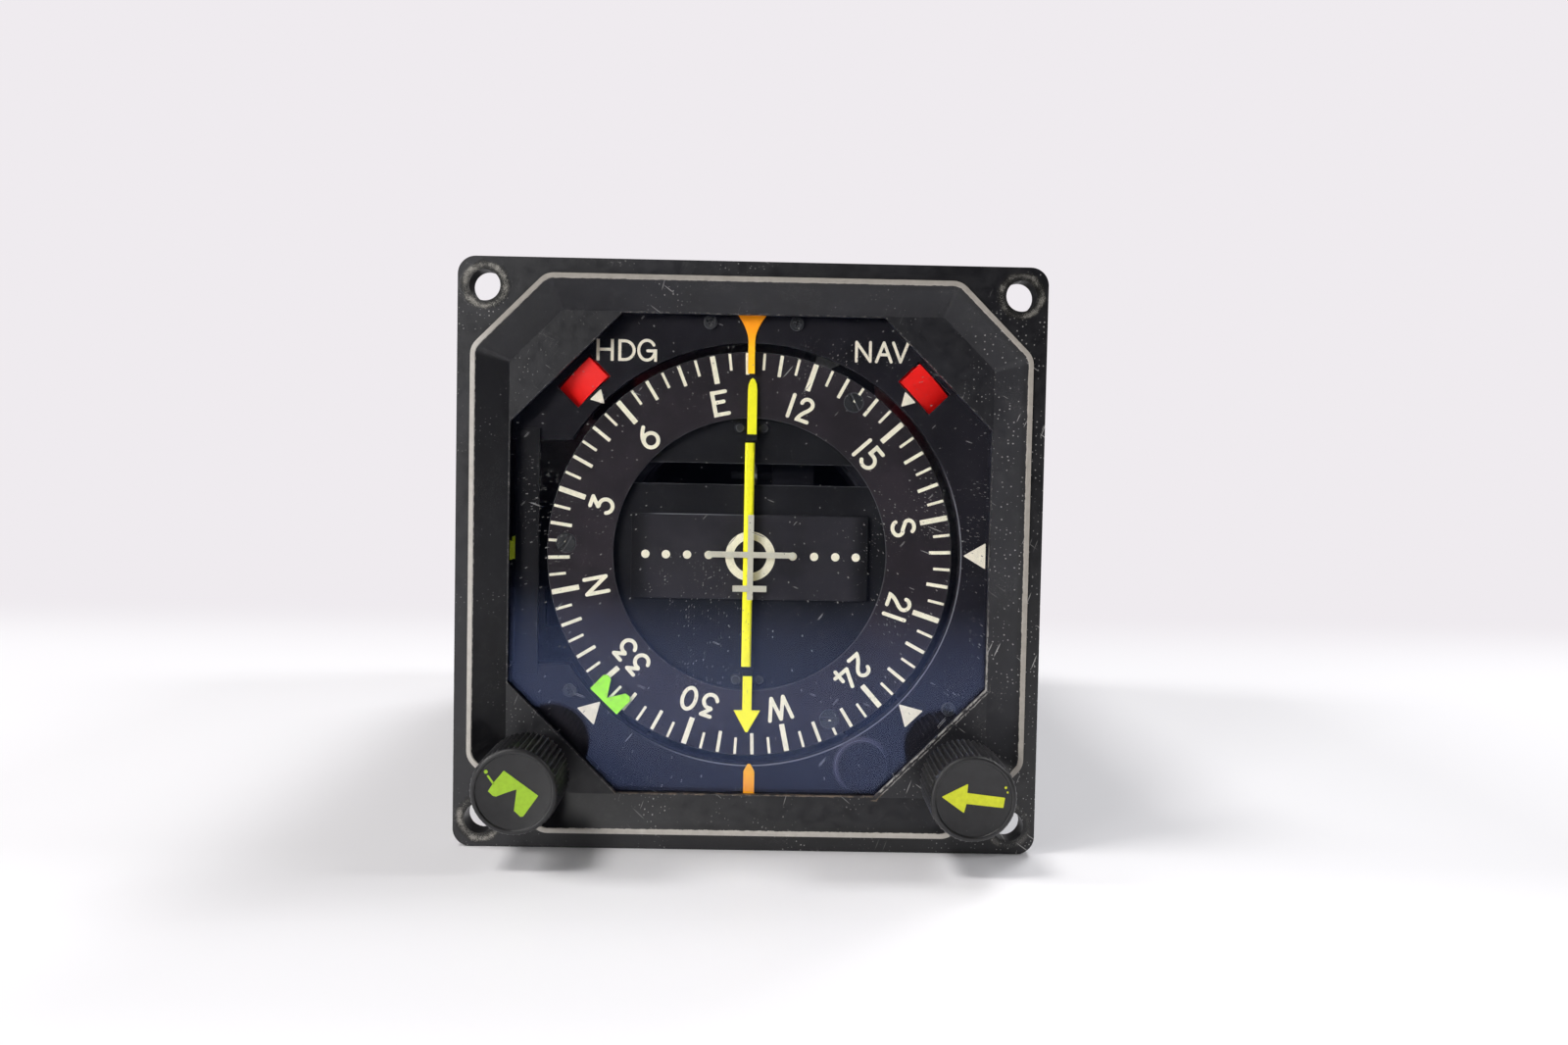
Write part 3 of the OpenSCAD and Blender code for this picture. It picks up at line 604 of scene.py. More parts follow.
@dataclass(frozen=True)
class Finish:
    """What a piece is made of or painted with; each kind lays its coat in its own way."""

    name: str

    def coat(self, graph: Graph, place: Field) -> Coat:
        """Lays the coat.

        Args:
            graph: The graph that gets the nodes.
            place: Where, in millimetres.

        Returns:
            The coat, for a finer kind of the same finish to paint over.
        """
        raise NotImplementedError

    def build(self) -> bpy.types.Material:
        """Builds the material."""
        graph = Graph(self.name)
        return graph.finish(self.coat(graph, graph.place()).shader())


@lru_cache(maxsize=None)
def material(finish: Finish) -> bpy.types.Material:
    """Builds each finish once."""
    return finish.build()


@dataclass(frozen=True)
class Enamel(Finish):
    """Satin enamel with orange peel, pale dust and hair scratches; worn places show metal."""

    colour: Colour
    roughness: float = 0.42
    dust: float = 0.25
    scratches: float = 0.4
    wear: float = 0.0
    bare: Colour = (0.34, 0.32, 0.29)
    peel: float = 0.012
    gloss: float = 0.5

    def coat(self, graph: Graph, place: Field) -> Coat:
        """Lays the plain coat.

        Args:
            graph: The graph that gets the nodes.
            place: Where, in millimetres.

        Returns:
            The coat.
        """
        worn = place.noise(1.3, 6, 0.75).ease(0.78 - 0.45 * self.wear, 0.86 - 0.3 * self.wear)
        worn *= min(1.0, 4 * self.wear)
        coat = Coat(place, place.noise(0.08, 4).ease(0.3, 0.7).shades(self.colour, 0.78, 1.3),
                    place.noise(0.5, 4).about(self.roughness, 0.07, 0.1), worn * 0.7,
                    place.noise(3.2, 2), self.peel, {"Specular IOR Level": self.gloss})
        film = place.noise(0.35, 5, 0.7).ease(0.5, 0.85) * (0.35 * self.dust)
        hair = (graph.hairs(0.06, 2.1, 38, self.scratches)
                | graph.hairs(0.09, 1.7, -64, self.scratches))
        marks = place.specks(0.75, 0.11, 0.5 * self.dust) | film | hair * self.scratches
        coat.tint(marks * 0.55, (0.36, 0.35, 0.34))
        coat.tint(worn, self.bare)
        return coat


@dataclass(frozen=True)
class BezelEnamel(Enamel):
    """The bezel's enamel, with its pale line, the worn rings of its four holes, dust, painted shade
    over its front, and chips and a painted highlight on the window's rim.
    """

    hole: float = 47.625
    ring: float = 4.3
    line_level: float = -5.33
    front: Point = (-4.2, -4.9)
    window: tuple[float, float] = (43.8, 67.6)

    def coat(self, graph: Graph, place: Field) -> Coat:
        """Lays the bezel's own marks over the plain coat.

        Args:
            graph: The graph that gets the nodes.
            place: Where, in millimetres.

        Returns:
            The coat.
        """
        coat = super().coat(graph, place)
        for add in (self.add_shade_and_lint, self.add_rings, self.add_line, self.add_rim):
            add(coat)
        return coat

    def add_shade_and_lint(self, coat: Coat) -> None:
        """Paints shade over the front, darker towards the lower right, and strews specks and fibres
        over it.

        Args:
            coat: The coat so far.
        """
        x, y, z = coat.place.parts()
        graph = coat.place.graph
        # painted shade: the front darkens towards the lower right
        shade = (x - z * 0.6).ease(-70, 60, (0.0, 0.75)) * y.ease(*self.front)
        coat.tint(shade, scaled(self.colour, 0.3))
        lint = graph.place(turn=(90, 0, 0)).specks(1.3, 0.15, 0.4, flat=True) | (
            graph.fibres(35, 0.1) | graph.fibres(-70, 0.1))
        side = x.ease(36, 50) + z.ease(-30, -50) * 0.4
        lint *= (coat.place.noise(0.09, 2) + side * 0.2).ease(0.5, 0.72)
        coat.tint(lint * 0.85, (0.46, 0.45, 0.44))

    def add_rings(self, coat: Coat) -> None:
        """Bares a brushed and patchy ring round each hole.

        Args:
            coat: The coat so far.
        """
        x, y, z = coat.place.parts()
        away = length(abs(x) - self.hole, abs(z) - self.hole)
        frayed = away + coat.place.noise(1.1, 5, 0.7).ease(0.2, 0.8, (-0.4, 0.4))
        ring = frayed.ease(self.ring + 0.35, self.ring - 0.45) * y.ease(*self.front)
        # the bared ring is fainter at the lower right hole
        ring *= (x - z).ease(50, 92, (1, 0.3))
        speckle = coat.place.noise(4.4, 8, 0.95)
        brushed = speckle + abs(away - 3.7).ease(0.1, 0.9, (0.02, -0.06))
        patchy = coat.place.noise(0.35, 3).ease(0.35, 0.65, (-0.07, 0.03))
        bared = (brushed + patchy).ease(0.46, 0.58)
        coat.tint(ring, bared.mix((0.01, 0.0098, 0.0095), (0.42, 0.4, 0.36)))
        coat.metal = coat.metal | ring * 0.4
        coat.height += ring * speckle * 4

    def add_line(self, coat: Coat) -> None:
        """Paints the raised line, nicked and mottled, and lighter at the left and the bottom.

        Args:
            coat: The coat so far.
        """
        x, y, z = coat.place.parts()
        level = y + coat.place.noise(0.9, 5, 0.75).ease(0.25, 0.75, (-0.06, 0.09))
        nicks = coat.place.noise(0.55, 6, 0.8).ease(0.66, 0.7)
        on_line = level.ease(self.line_level + 0.03, self.line_level - 0.03) * (1.0 - nicks * 0.5)
        blotch = coat.place.noise(0.7, 5, 0.7)
        lighter_side = x.ease(-45, -49) | z.ease(-45, -49, (0, 0.7))
        coat.tint(on_line, lighter_side.mix(blotch.mix(srgb(150, 143, 134), srgb(196, 190, 181)),
                                     blotch.mix(srgb(190, 184, 176), srgb(232, 227, 219))))
        coat.metal *= 1.0 - on_line

    def add_rim(self, coat: Coat) -> None:
        """Chips the window's rim, which lies where the distance outside its octagon is small, and
        paints a highlight along its lower right.

        Args:
            coat: The coat so far.
        """
        x, y, z = coat.place.parts()
        wide, high = abs(x), abs(z)
        half, corner = self.window
        outside = ((wide | high) - half | (wide + high - corner) * 0.7071)
        outside += coat.place.noise(0.9, 5, 0.75).ease(0.3, 0.7, (-0.1, 0.1))
        near = abs(y).ease(0.9, 0.5)
        # painted highlight: a second thin pale line beside the lower right diagonal
        second = (x - z).ease(67, 68) * near * abs(outside - 0.62).ease(0.14, 0.06)
        rim = near * outside.ease(0.26, 0.15) | second * 0.7
        # painted highlight: the lower right of the rim is pale along most of its length, over the
        # chips
        lower_right_highlight = (x * 0.45 - z).ease(24, 42) * coat.place.noise(0.6, 5, 0.75).ease(0.42, 0.54)
        rim *= coat.place.noise(1.4, 6, 0.85).ease(0.53, 0.6) * 0.5 | lower_right_highlight
        coat.tint(rim, z.ease(-43.1, -43.5).mix((0.5, 0.48, 0.45), (0.2, 0.15, 0.11)))


@dataclass(frozen=True)
class MaskEnamel(Enamel):
    """The mask's coat: its boss with painted light and shade, a painted highlight on the lip of its
    round hole and painted shade on its inner walls.
    """

    boss: tuple[float, float, float] = (21.7, -38.9, 5.0)
    hole: float = 39.0
    face: float = 3.9

    def coat(self, graph: Graph, place: Field) -> Coat:
        """Adds painted shade on the walls, a painted highlight on the lip, and the boss's ring with
        a painted highlight above left and painted shade below right.

        Args:
            graph: The graph that gets the nodes.
            place: Where, in millimetres.

        Returns:
            The coat.
        """
        coat = super().coat(graph, place)
        x, y, z = place.parts()
        # painted shade: the walls behind the face are darker
        coat.tint(y.ease(self.face + 0.14, self.face + 0.3), scaled(self.colour, 0.2))
        # painted highlight on the lip of the round hole, at the lower right
        lip_highlight = length(x, z).ease(self.hole + 0.26, self.hole + 0.16) * (x - z).ease(12, 34)
        coat.tint(lip_highlight * y.ease(self.face + 0.2, self.face + 0.1) * 0.8, (0.2, 0.2, 0.23))
        # painted highlight above left and painted shade below right, in a ring round the boss
        aside, above = x - self.boss[0], z - self.boss[1]
        band = abs(length(aside, above) - self.boss[2]).ease(0.8, 0.1)
        coat.tint(band * 0.9, (above - aside).ease(-5, 6).shades(self.colour, 0.1, 6))
        return coat


@dataclass(frozen=True)
class PlateEnamel(Enamel):
    """The deviation scale's coat, with painted shade at the flat plate's two ends and a painted
    highlight on its upper edge.
    """

    half: float = 22.0

    def coat(self, graph: Graph, place: Field) -> Coat:
        """Paints shade over the ends, and a highlight line on the left of the upper edge.

        Args:
            graph: The graph that gets the nodes.
            place: Where, in millimetres.

        Returns:
            The coat.
        """
        coat = super().coat(graph, place)
        x, _, z = place.parts()
        # painted shade: the plate's two ends darken
        ends = abs(x).ease(self.half - 4.2, self.half - 0.5, (0, 0.85))
        coat.tint(ends, scaled(self.colour, 0.15))
        # painted highlight along the left of the upper edge
        top_edge_highlight = z.ease(7.24, 7.32) * (x.ease(-19.5, -16) * x.ease(3, -9))
        coat.tint(top_edge_highlight * 0.6, (0.35, 0.36, 0.4))
        return coat


@dataclass(frozen=True)
class Paint(Finish):
    """A mark's dull paint, mottled and finely pitted, that can change tone from low to high as
    painted shade, and glow as painted light.
    """

    colour: Colour
    high: Colour | None = None
    span: tuple[float, float] = (0.0, 1.0)
    roughness: float = 0.5
    mottle: float = 0.12
    glow: float = 0.0

    def coat(self, graph: Graph, place: Field) -> Coat:
        """Lays the paint; a glowing one gives off a little light of its own colour, which is
        painted light.

        Args:
            graph: The graph that gets the nodes.
            place: Where, in millimetres.

        Returns:
            The coat.
        """
        body: Value = self.colour
        # painted shade: the tone changes from low to high
        if self.high is not None:
            body = place.parts()[2].ease(*self.span).mix(self.colour, self.high)
        cloud = place.noise(1.1, 5, 0.7).ease(0.25, 0.75, (1 - self.mottle, 1 + 0.4 * self.mottle))
        shade = graph.get("CombineColor", {0: cloud, 1: cloud, 2: cloud})
        tone = graph.get("Mix", {0: 1.0, 6: body, 7: shade}, 2, data_type="RGBA",
                         blend_type="MULTIPLY")
        coat = Coat(place, tone, place.noise(2.2, 3).about(self.roughness, 0.08, 0.08), 0.0,
                    place.noise(6, 2), 0.008)
        coat.tint(place.specks(1.3, 0.09, 0.2) * 0.35, (0.09, 0.085, 0.08))
        # painted light: the glow
        coat.more = {"Emission Color": coat.colour, "Emission Strength": self.glow,
                     "Specular IOR Level": 0.3}
        return coat


class Grain(Enum):
    """How a metal was worked: the directions in which its fine marks are drawn out."""

    CAST = (1.0, 1.0, 1.0)
    TURNED = (0.5, 9.0, 0.5)
    ROLLED = (0.35, 0.35, 8.0)


@dataclass(frozen=True)
class Metal(Finish):
    """Bare or plated metal with tool marks, cloudy oxide and small dark spots."""

    colour: Colour
    grain: Grain = Grain.TURNED
    roughness: float = 0.35
    oxide: float = 0.25

    def coat(self, graph: Graph, place: Field) -> Coat:
        """Lays the tool marks, the oxide and the spots.

        Args:
            graph: The graph that gets the nodes.
            place: Where, in millimetres.

        Returns:
            The coat.
        """
        marks = graph.place(self.grain.value).noise(2.4, 4, 0.65)
        cloud = place.noise(0.16, 5, 0.65).ease(0.45, 0.8)
        rough = marks.about(self.roughness, 0.08, 0.08) + cloud * (0.2 * self.oxide)
        body = marks.ease(0.3, 0.7).shades(self.colour, 0.82, 1.08)
        coat = Coat(place, body, rough, 1.0, marks, 0.006)
        coat.tint(cloud * self.oxide, scaled(self.colour, 0.35))
        coat.tint(place.specks(0.6, 0.14, 0.18) * 0.5, scaled(self.colour, 0.2))
        return coat


@dataclass(frozen=True)
class Plastic(Finish):
    """Moulded plastic with a fine grain; ridges are paler, partly rubbed wear and partly painted
    highlight, and grooves hold dust.
    """

    colour: Colour
    roughness: float = 0.5
    ridge_wear_and_highlight: float = 0.0
    grain: float = 0.02

    def coat(self, graph: Graph, place: Field) -> Coat:
        """Lays the grain and the dust; a piece without ridge values reads them as zero.

        Args:
            graph: The graph that gets the nodes.
            place: Where, in millimetres.

        Returns:
            The coat.
        """
        coat = Coat(place, place.noise(0.4, 5, 0.7).ease(0.3, 0.7).shades(self.colour, 0.82, 1.25),
                    place.noise(1.2, 3).about(self.roughness, 0.06, 0.08), 0.0,
                    place.noise(5.5, 3, 0.7), self.grain)
        if self.ridge_wear_and_highlight:
            ridge = graph.get("Attribute", output="Fac", attribute_name="ridge")
            # pale ridges: partly rubbed wear, partly painted highlight
            worn_and_lit_ridges = ridge.ease(0.7, 1.0) * place.noise(0.8, 4, 0.7).ease(0.32, 0.6)
            coat.tint(worn_and_lit_ridges * self.ridge_wear_and_highlight, scaled(self.colour, 6.5))
        coat.tint(place.specks(0.9, 0.1, 0.25) * 0.4, (0.3, 0.29, 0.27))
        return coat


@dataclass(frozen=True)
class Glass(Finish):
    """Coated window glass: a weak blue mirror, with dust on it. Light passes to what is behind."""

    tint: Colour = (0.37, 0.5, 1.0)
    mirror: float = 0.3

    def build(self) -> bpy.types.Material:
        """Builds the glass.

        Returns:
            The material.
        """
        graph = Graph(self.name)
        place, front = graph.place(), graph.place(turn=(90, 0, 0))
        heavy = (place.noise(0.07, 2) + place.parts()[0].ease(20, 44, (0, 0.12))).ease(0.54, 0.66)
        fine = front.specks(2.0, 0.1, 0.16, flat=True) * heavy
        dust = front.specks(1.1, 0.14, 0.04, flat=True) | fine
        dirt = dust | (graph.fibres(20, 0.012) | graph.fibres(-50, 0.012)) * 0.8
        pane = graph.get("BsdfPrincipled", {
            "Base Color": dirt.mix((0.96, 0.97, 1.0), (0.5, 0.49, 0.47)), "Roughness": 0.015,
            "Transmission Weight": 1.0 - dirt * 0.55, "IOR": 1.5, "Specular IOR Level": self.mirror,
            "Specular Tint": self.tint})
        through = graph.get("BsdfTransparent", {"Color": (0.93, 0.94, 0.95)})
        shadow = graph.get("LightPath", output="Is Shadow Ray")
        return graph.finish(graph.get("MixShader", {0: shadow, 1: pane, 2: through}))


@dataclass(frozen=True)
class Laminate(Finish):
    """A circuit board: green lacquer over a grid of copper tracks, with solder spots."""

    colour: Colour = (0.012, 0.09, 0.035)

    def coat(self, graph: Graph, place: Field) -> Coat:
        """Lays the tracks, the lacquer and the solder.

        Args:
            graph: The graph that gets the nodes.
            place: Where, in millimetres.

        Returns:
            The coat.
        """
        cells = graph.get("TexVoronoi", {"Vector": graph.place((1, 0.45, 0.45)), "Scale": 0.5,
                                         "Randomness": 0.6}, "Distance", distance="MANHATTAN")
        track = cells.math("PINGPONG", 0.22).ease(0.1, 0.12)
        solder = place.specks(0.35, 0.75, 0.5)
        coat = Coat(place, track.mix(self.colour, (0.05, 0.2, 0.06)),
                    solder.ease(0, 1, (0.3, 0.25)), solder, track + solder * 3, 0.05)
        coat.tint(solder, (0.55, 0.55, 0.53))
        return coat


@dataclass(frozen=True)
class Winding(Finish):
    """Layers of fine copper wire wound round the Y axis, lacquered brown."""

    colour: Colour = (0.5, 0.2, 0.08)

    def coat(self, graph: Graph, place: Field) -> Coat:
        """Lays the wires: rounded waves along Y, one for each turn, with painted shade between the
        turns.

        Args:
            graph: The graph that gets the nodes.
            place: Where, in millimetres.

        Returns:
            The coat.
        """
        wire = abs((place.parts()[1] * (2 * math.pi)).math("SINE"))
        # painted shade: darker between the turns
        coat = Coat(place, wire.mix(scaled(self.colour, 0.35), self.colour),
                    wire.ease(0, 1, (0.55, 0.32)), 0.7, wire, 0.12)
        coat.tint(place.noise(0.5, 4).ease(0.4, 0.8), scaled(self.colour, 0.6))
        return coat


PRINTED: dict[str, float] = {"peel": 0.004, "gloss": 0.12}
BLACK_ENAMEL = BezelEnamel("black_enamel", (0.0112, 0.0112, 0.0148), roughness=0.38, gloss=0.64)
BLACK_ENAMEL_EDGE = BezelEnamel("black_enamel_edge", (0.02, 0.02, 0.022), wear=0.62)
CASE_PAINT = Enamel("case_paint", (0.017, 0.017, 0.0185), 0.5, 0.3, 0.5)
CASE_PAINT_EDGE = Enamel("case_paint_edge", (0.02, 0.02, 0.022), 0.5, wear=0.5)
MASK_BLACK = MaskEnamel("mask_black", (0.0102, 0.0092, 0.0128), 0.6, 0.06, 0.1, **PRINTED)
# painted highlight: the mask's broken edges are pale grey
MASK_EDGE_HIGHLIGHT = Enamel("mask_edge_highlight", (0.3, 0.3, 0.33), 0.4, 0.1, 0.1, peel=0.004)
FRAME_BLACK = Enamel("frame_black", (0.042, 0.037, 0.044), 0.6, 0.2, gloss=0.15)
CARD_BLACK = Enamel("card_black", (0.023, 0.0188, 0.0232), 0.6, 0.08, 0.1, **PRINTED)
# painted highlight: the broken edges of the card and the disc are a paler grey
CARD_EDGE_HIGHLIGHT = Enamel("card_edge_highlight", (0.06, 0.06, 0.068), 0.45, 0.1, gloss=0.3)
DISC_BLACK = Enamel("disc_black", (0.0105, 0.0105, 0.0128), 0.65, 0.1, 0.08, **PRINTED)
PLATE_BLACK = PlateEnamel("plate_black", (0.0245, 0.0232, 0.0285), 0.6, 0.08, 0.08, **PRINTED)
PLATE_EDGE = PlateEnamel("plate_edge", (0.028, 0.027, 0.033), 0.6, 0.1, gloss=0.15)
INNER_BLACK = Enamel("inner_black", (0.015, 0.0148, 0.02), 0.85, 0.02, 0.02, gloss=0.15)
GEAR_BLACK = Enamel("gear_black", (0.011, 0.011, 0.015), 0.8, 0.05, 0.05, gloss=0.1)
SCREW_BLACK = Enamel("screw_black", (0.014, 0.015, 0.018), 0.35, 0.1, 0.1, 0.1)
SCREW_EDGE = Enamel("screw_edge", (0.065, 0.065, 0.072), 0.35, 0.1, 0.1, 0.2)
KNOB_BLACK = Plastic("knob_black", (0.014, 0.0138, 0.015), roughness=0.37, ridge_wear_and_highlight=0.85, grain=0.018)
GASKET_RUBBER = Plastic("gasket_rubber", (0.012, 0.012, 0.012), roughness=0.75)
INSULATOR = Plastic("insulator_resin", (0.16, 0.05, 0.02), roughness=0.4)
# The glows below are painted light, and the two oranges' change of tone from low to high is painted
# shade.
CREAM = Paint("cream_marks", srgb(253, 247, 224))
LABEL_GREY = Paint("label_marks", srgb(246, 238, 219))
SYMBOL_GREY = Paint("aircraft_grey", srgb(250, 247, 236), roughness=0.35, mottle=0.05, glow=0.03)
RING_CREAM = Paint("ring_marks", srgb(248, 242, 220))
YELLOW = Paint("needle_yellow", srgb(252, 246, 36), roughness=0.38, mottle=0.06, glow=0.08)
NEEDLE_BLACK = Paint("needle_black", srgb(14, 14, 16), roughness=0.4)
ORANGE_HIGH = Paint("orange_high", srgb(255, 200, 20), srgb(255, 154, 0), (35.0, 43.0), glow=0.22)
ORANGE_LOW = Paint("orange_low", srgb(246, 158, 12), srgb(250, 182, 24), (-44.0, -39.0), glow=0.1)
BUG_GREEN = Paint("bug_green", srgb(165, 246, 56), roughness=0.45, glow=0.1)
FLAG_RED = Paint("flag_red", srgb(240, 22, 16), mottle=0.08, glow=0.12)
KNOB_GREEN = Paint("knob_green", srgb(172, 214, 56), roughness=0.45)
KNOB_YELLOW = Paint("knob_yellow", srgb(220, 226, 52), roughness=0.45)
POINTER_GREEN = Paint("glideslope_green", srgb(180, 196, 44), roughness=0.45, glow=0.12)
VANE_WHITE = Paint("vane_white", srgb(235, 235, 230))
WINDOW = Glass("window_coated")
ALLOY = Metal("machined_alloy", (0.62, 0.62, 0.62), Grain.ROLLED, 0.32, 0.2)
STEEL = Metal("ground_steel", (0.56, 0.56, 0.57), Grain.TURNED, 0.25, 0.15)
BRASS = Metal("gear_brass", (0.78, 0.56, 0.24), Grain.CAST, 0.3, 0.3)
BUSHING = Metal("bushing_alloy", (0.3, 0.3, 0.31), Grain.TURNED, 0.4, 0.4)
CONNECTOR = Metal("connector_olive", (0.36, 0.36, 0.26), Grain.TURNED, 0.38, 0.4)
SCREW_STEEL = Metal("screw_steel", (0.5, 0.5, 0.5), Grain.TURNED, 0.3, 0.3)
MOTOR_CAN = Metal("motor_can", (0.42, 0.42, 0.43), Grain.TURNED, 0.4, 0.25)
BOARD = Laminate("circuit_laminate")
COPPER = Winding("copper_winding")


# Placing pieces


@dataclass(frozen=True)
class Break:
    """How far a piece's sharp edges are broken, and the finish of the broken edges."""

    width: float
    steps: int = 2
    finish: Finish | None = None


def set_piece(name: str, shape: Union[Surface, bpy.types.Mesh], body: str, finish: Finish,
              *, stands_for: Sequence[str] = (), edges: Break | None = None,
              smooth_below: float = 35) -> None:
    """Puts a piece into the scene and lets it ride on its body.

    Args:
        name: The piece's name.
        shape: Its shape, in place.
        body: The body that carries it.
        finish: Its finish.
        stands_for: The CAD nodes that it replaces.
        edges: How its sharp edges are broken.
        smooth_below: The angle up to which neighbouring faces shade as one.
    """
    mesh = shape.mesh(name) if isinstance(shape, Surface) else shape
    piece = bpy.data.objects.new(name, mesh)
    bpy.context.scene.collection.objects.link(piece)
    mesh.materials.append(material(finish))
    mesh.polygons.foreach_set("use_smooth", np.ones(len(mesh.polygons), bool))
    mesh.set_sharp_from_angle(angle=math.radians(smooth_below))
    if edges is not None:
        bevel = piece.modifiers.new("broken_edges", "BEVEL")
        bevel.width = edges.width * MM
        bevel.segments = edges.steps
        bevel.limit_method = "ANGLE"
        bevel.angle_limit = math.radians(smooth_below)
        bevel.harden_normals = True
        if edges.finish is not None:
            mesh.materials.append(material(edges.finish))
            bevel.material = 1
    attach(piece, body)
    if stands_for:
        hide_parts(*stands_for)
    log.info("%s rides on %s with %d faces", name, body, len(mesh.polygons))


def welded(node: str) -> bpy.types.Mesh:
    """Copies a CAD node's mesh, joins its loose triangles and melts flat faces together.

    Args:
        node: The CAD node.

    Returns:
        The copy, without the marks and normals of the CAD mesh.
    """
    copy = bmesh.new()
    copy.from_mesh(frame["nodes"][node].data)
    bmesh.ops.remove_doubles(copy, verts=copy.verts, dist=WELD)
    bmesh.ops.dissolve_limit(copy, angle_limit=math.radians(FLAT), verts=copy.verts,
                             edges=copy.edges)
    mesh = bpy.data.meshes.new(node + "_dressed")
    copy.to_mesh(mesh)
    copy.free()
    for layer in ("custom_normal", "sharp_edge", "sharp_face"):
        if layer in mesh.attributes:
            mesh.attributes.remove(mesh.attributes[layer])
    return mesh


def body_of(node: str) -> str:
    """Gives the body that carries a CAD node."""
    bodies = frame["record"]["behaviour"]["bodies"]
    return next(body for body, nodes in bodies.items() if node in nodes)


def refinish(node: str, finish: Finish) -> None:
    """Gives a CAD node its finish and leaves its shape.

    Args:
        node: The CAD node.
        finish: Its finish.
    """
    shape = frame["nodes"][node].data
    shape.materials.clear()
    shape.materials.append(material(finish))
    log.info("%s is finished in %s", node, finish.name)


def dress(node: str, finish: Finish, slot: str, *broken: object) -> None:
    """Replaces a CAD node by the same shape, with its edges broken as Break's values say."""
    set_piece(node + "_dressed", welded(node), body_of(node), finish,
              stands_for=(node,), edges=Break(*broken))


# Sub-assemblies


@dataclass
class Bezel:
    """The square flange with its raised line, sloped recess and four holes."""

    edge: float = 0.16

    def build(self) -> None:
        """Dresses the bezel and the gasket behind its window."""
        dress("bezel", BLACK_ENAMEL, "black_enamel", self.edge, 2, BLACK_ENAMEL_EDGE)
        dress("window_gasket", GASKET_RUBBER, "black_rubber", 0.08, 1)
        dress("shaft_bushings", BUSHING, "bushing_alloy", 0.1)


@dataclass
class Window:
    """The coated glass, and the miniature aircraft printed on its back."""

    levels: Point = (3.2, 3.24)
    step: float = 0.1
    fuselage: Box = (-0.37, -8.2, 0.7, 7.49)
    wings: tuple[float, float, float] = (-7.45, 7.8, 0.13)
    wing_half: float = 0.54
    tail: Box = (-3.05, -6.7, 3.22, -5.55)

    def build(self) -> None:
        """Makes the glass and the aircraft."""
        refinish("window_glass", WINDOW)
        left, right, height = self.wings
        sign = Glyph((line((left, height), (right, height)),), (self.fuselage, self.tail))
        plate = sign.plate(self.wing_half, self.levels, step=self.step)
        set_piece("miniature_aircraft", plate, "housing", SYMBOL_GREY)


@dataclass
class Mask:
    """The mask behind the glass, its printed marks, its screws and the lubber lines."""

    levels: Point = (3.86, 3.91)
    label_half: float = 0.268
    triangles: tuple[tuple[Point, ...], ...] = (
        ((39.5, 0.62), (43.6, -1.78), (43.6, 3.06)),
        ((28.19, -27.18), (29.42, -31.5), (32.7, -28.33)),
        ((-27.1, -27.58), (-31.42, -28.84), (-28.27, -31.98)),
        ((-27.1, 27.36), (-27.8, 30.1), (-29.82, 28.1)),
        ((27.36, 27.9), (30.06, 28.7), (28.06, 30.72)))

    def labels(self) -> list[Surface]:
        """Cuts the letters of the two flag labels.

        Returns:
            Both labels.
        """
        low, high = 35.25, 39.2
        half = self.label_half
        warning = Glyph(
            (line((-28.43, (low + high) / 2 + 0.1), (-25.83, (low + high) / 2 + 0.1)),
             line((-24.45, high - half), (-23.55, high - half),
                  arc((-23.55, 37.22), (1.72, 1.7), 90, -90), (-24.45, low + half)),
             line(arc((-19.5, 37.3), (1.5, 1.8), 32, 340, 34)),
             line((-19.35, 37.2), (-17.95, 37.2))),
            ((-28.71, low, -28.15, high), (-26.11, low, -25.55, high), (-24.73, low, -24.17, high),
             (-18.15, low - 0.02, -17.63, 37.48)))
        navigation = Glyph(
            (line((18.93, 36.1), (18.93, 39.55), (21.48, 36.1), (21.48, 39.55)),
             line((22.62, 36.05), (23.98, 39.55), (25.34, 36.05)),
             line((23.2, 37.35), (24.76, 37.35)),
             line((25.7, 39.55), (27.05, 36.08), (28.4, 39.55))))
        return [warning.plate(half, self.levels), navigation.plate(half, self.levels)]

    def build(self) -> None:
        """Dresses the mask and everything fixed to it."""
        dress("mask", MASK_BLACK, "matte_black", 0.13, 2, MASK_EDGE_HIGHLIGHT)
        dress("mask_screws", SCREW_BLACK, "black_screw", 0.14, 2, SCREW_EDGE)
        dress("glideslope_scale", PLATE_BLACK, "matte_black", 0.1, 2, PLATE_EDGE)
        dress("upper_lubber", ORANGE_HIGH, "orange_paint", 0.06)
        dress("lower_lubber", ORANGE_LOW, "orange_paint", 0.06)
        marks = joined([prism(rounded(corners, 0.12), *self.levels) for corners in self.triangles])
        set_piece("index_marks", marks, "housing", LABEL_GREY)
        set_piece("flag_labels", joined(self.labels()), "housing", LABEL_GREY)


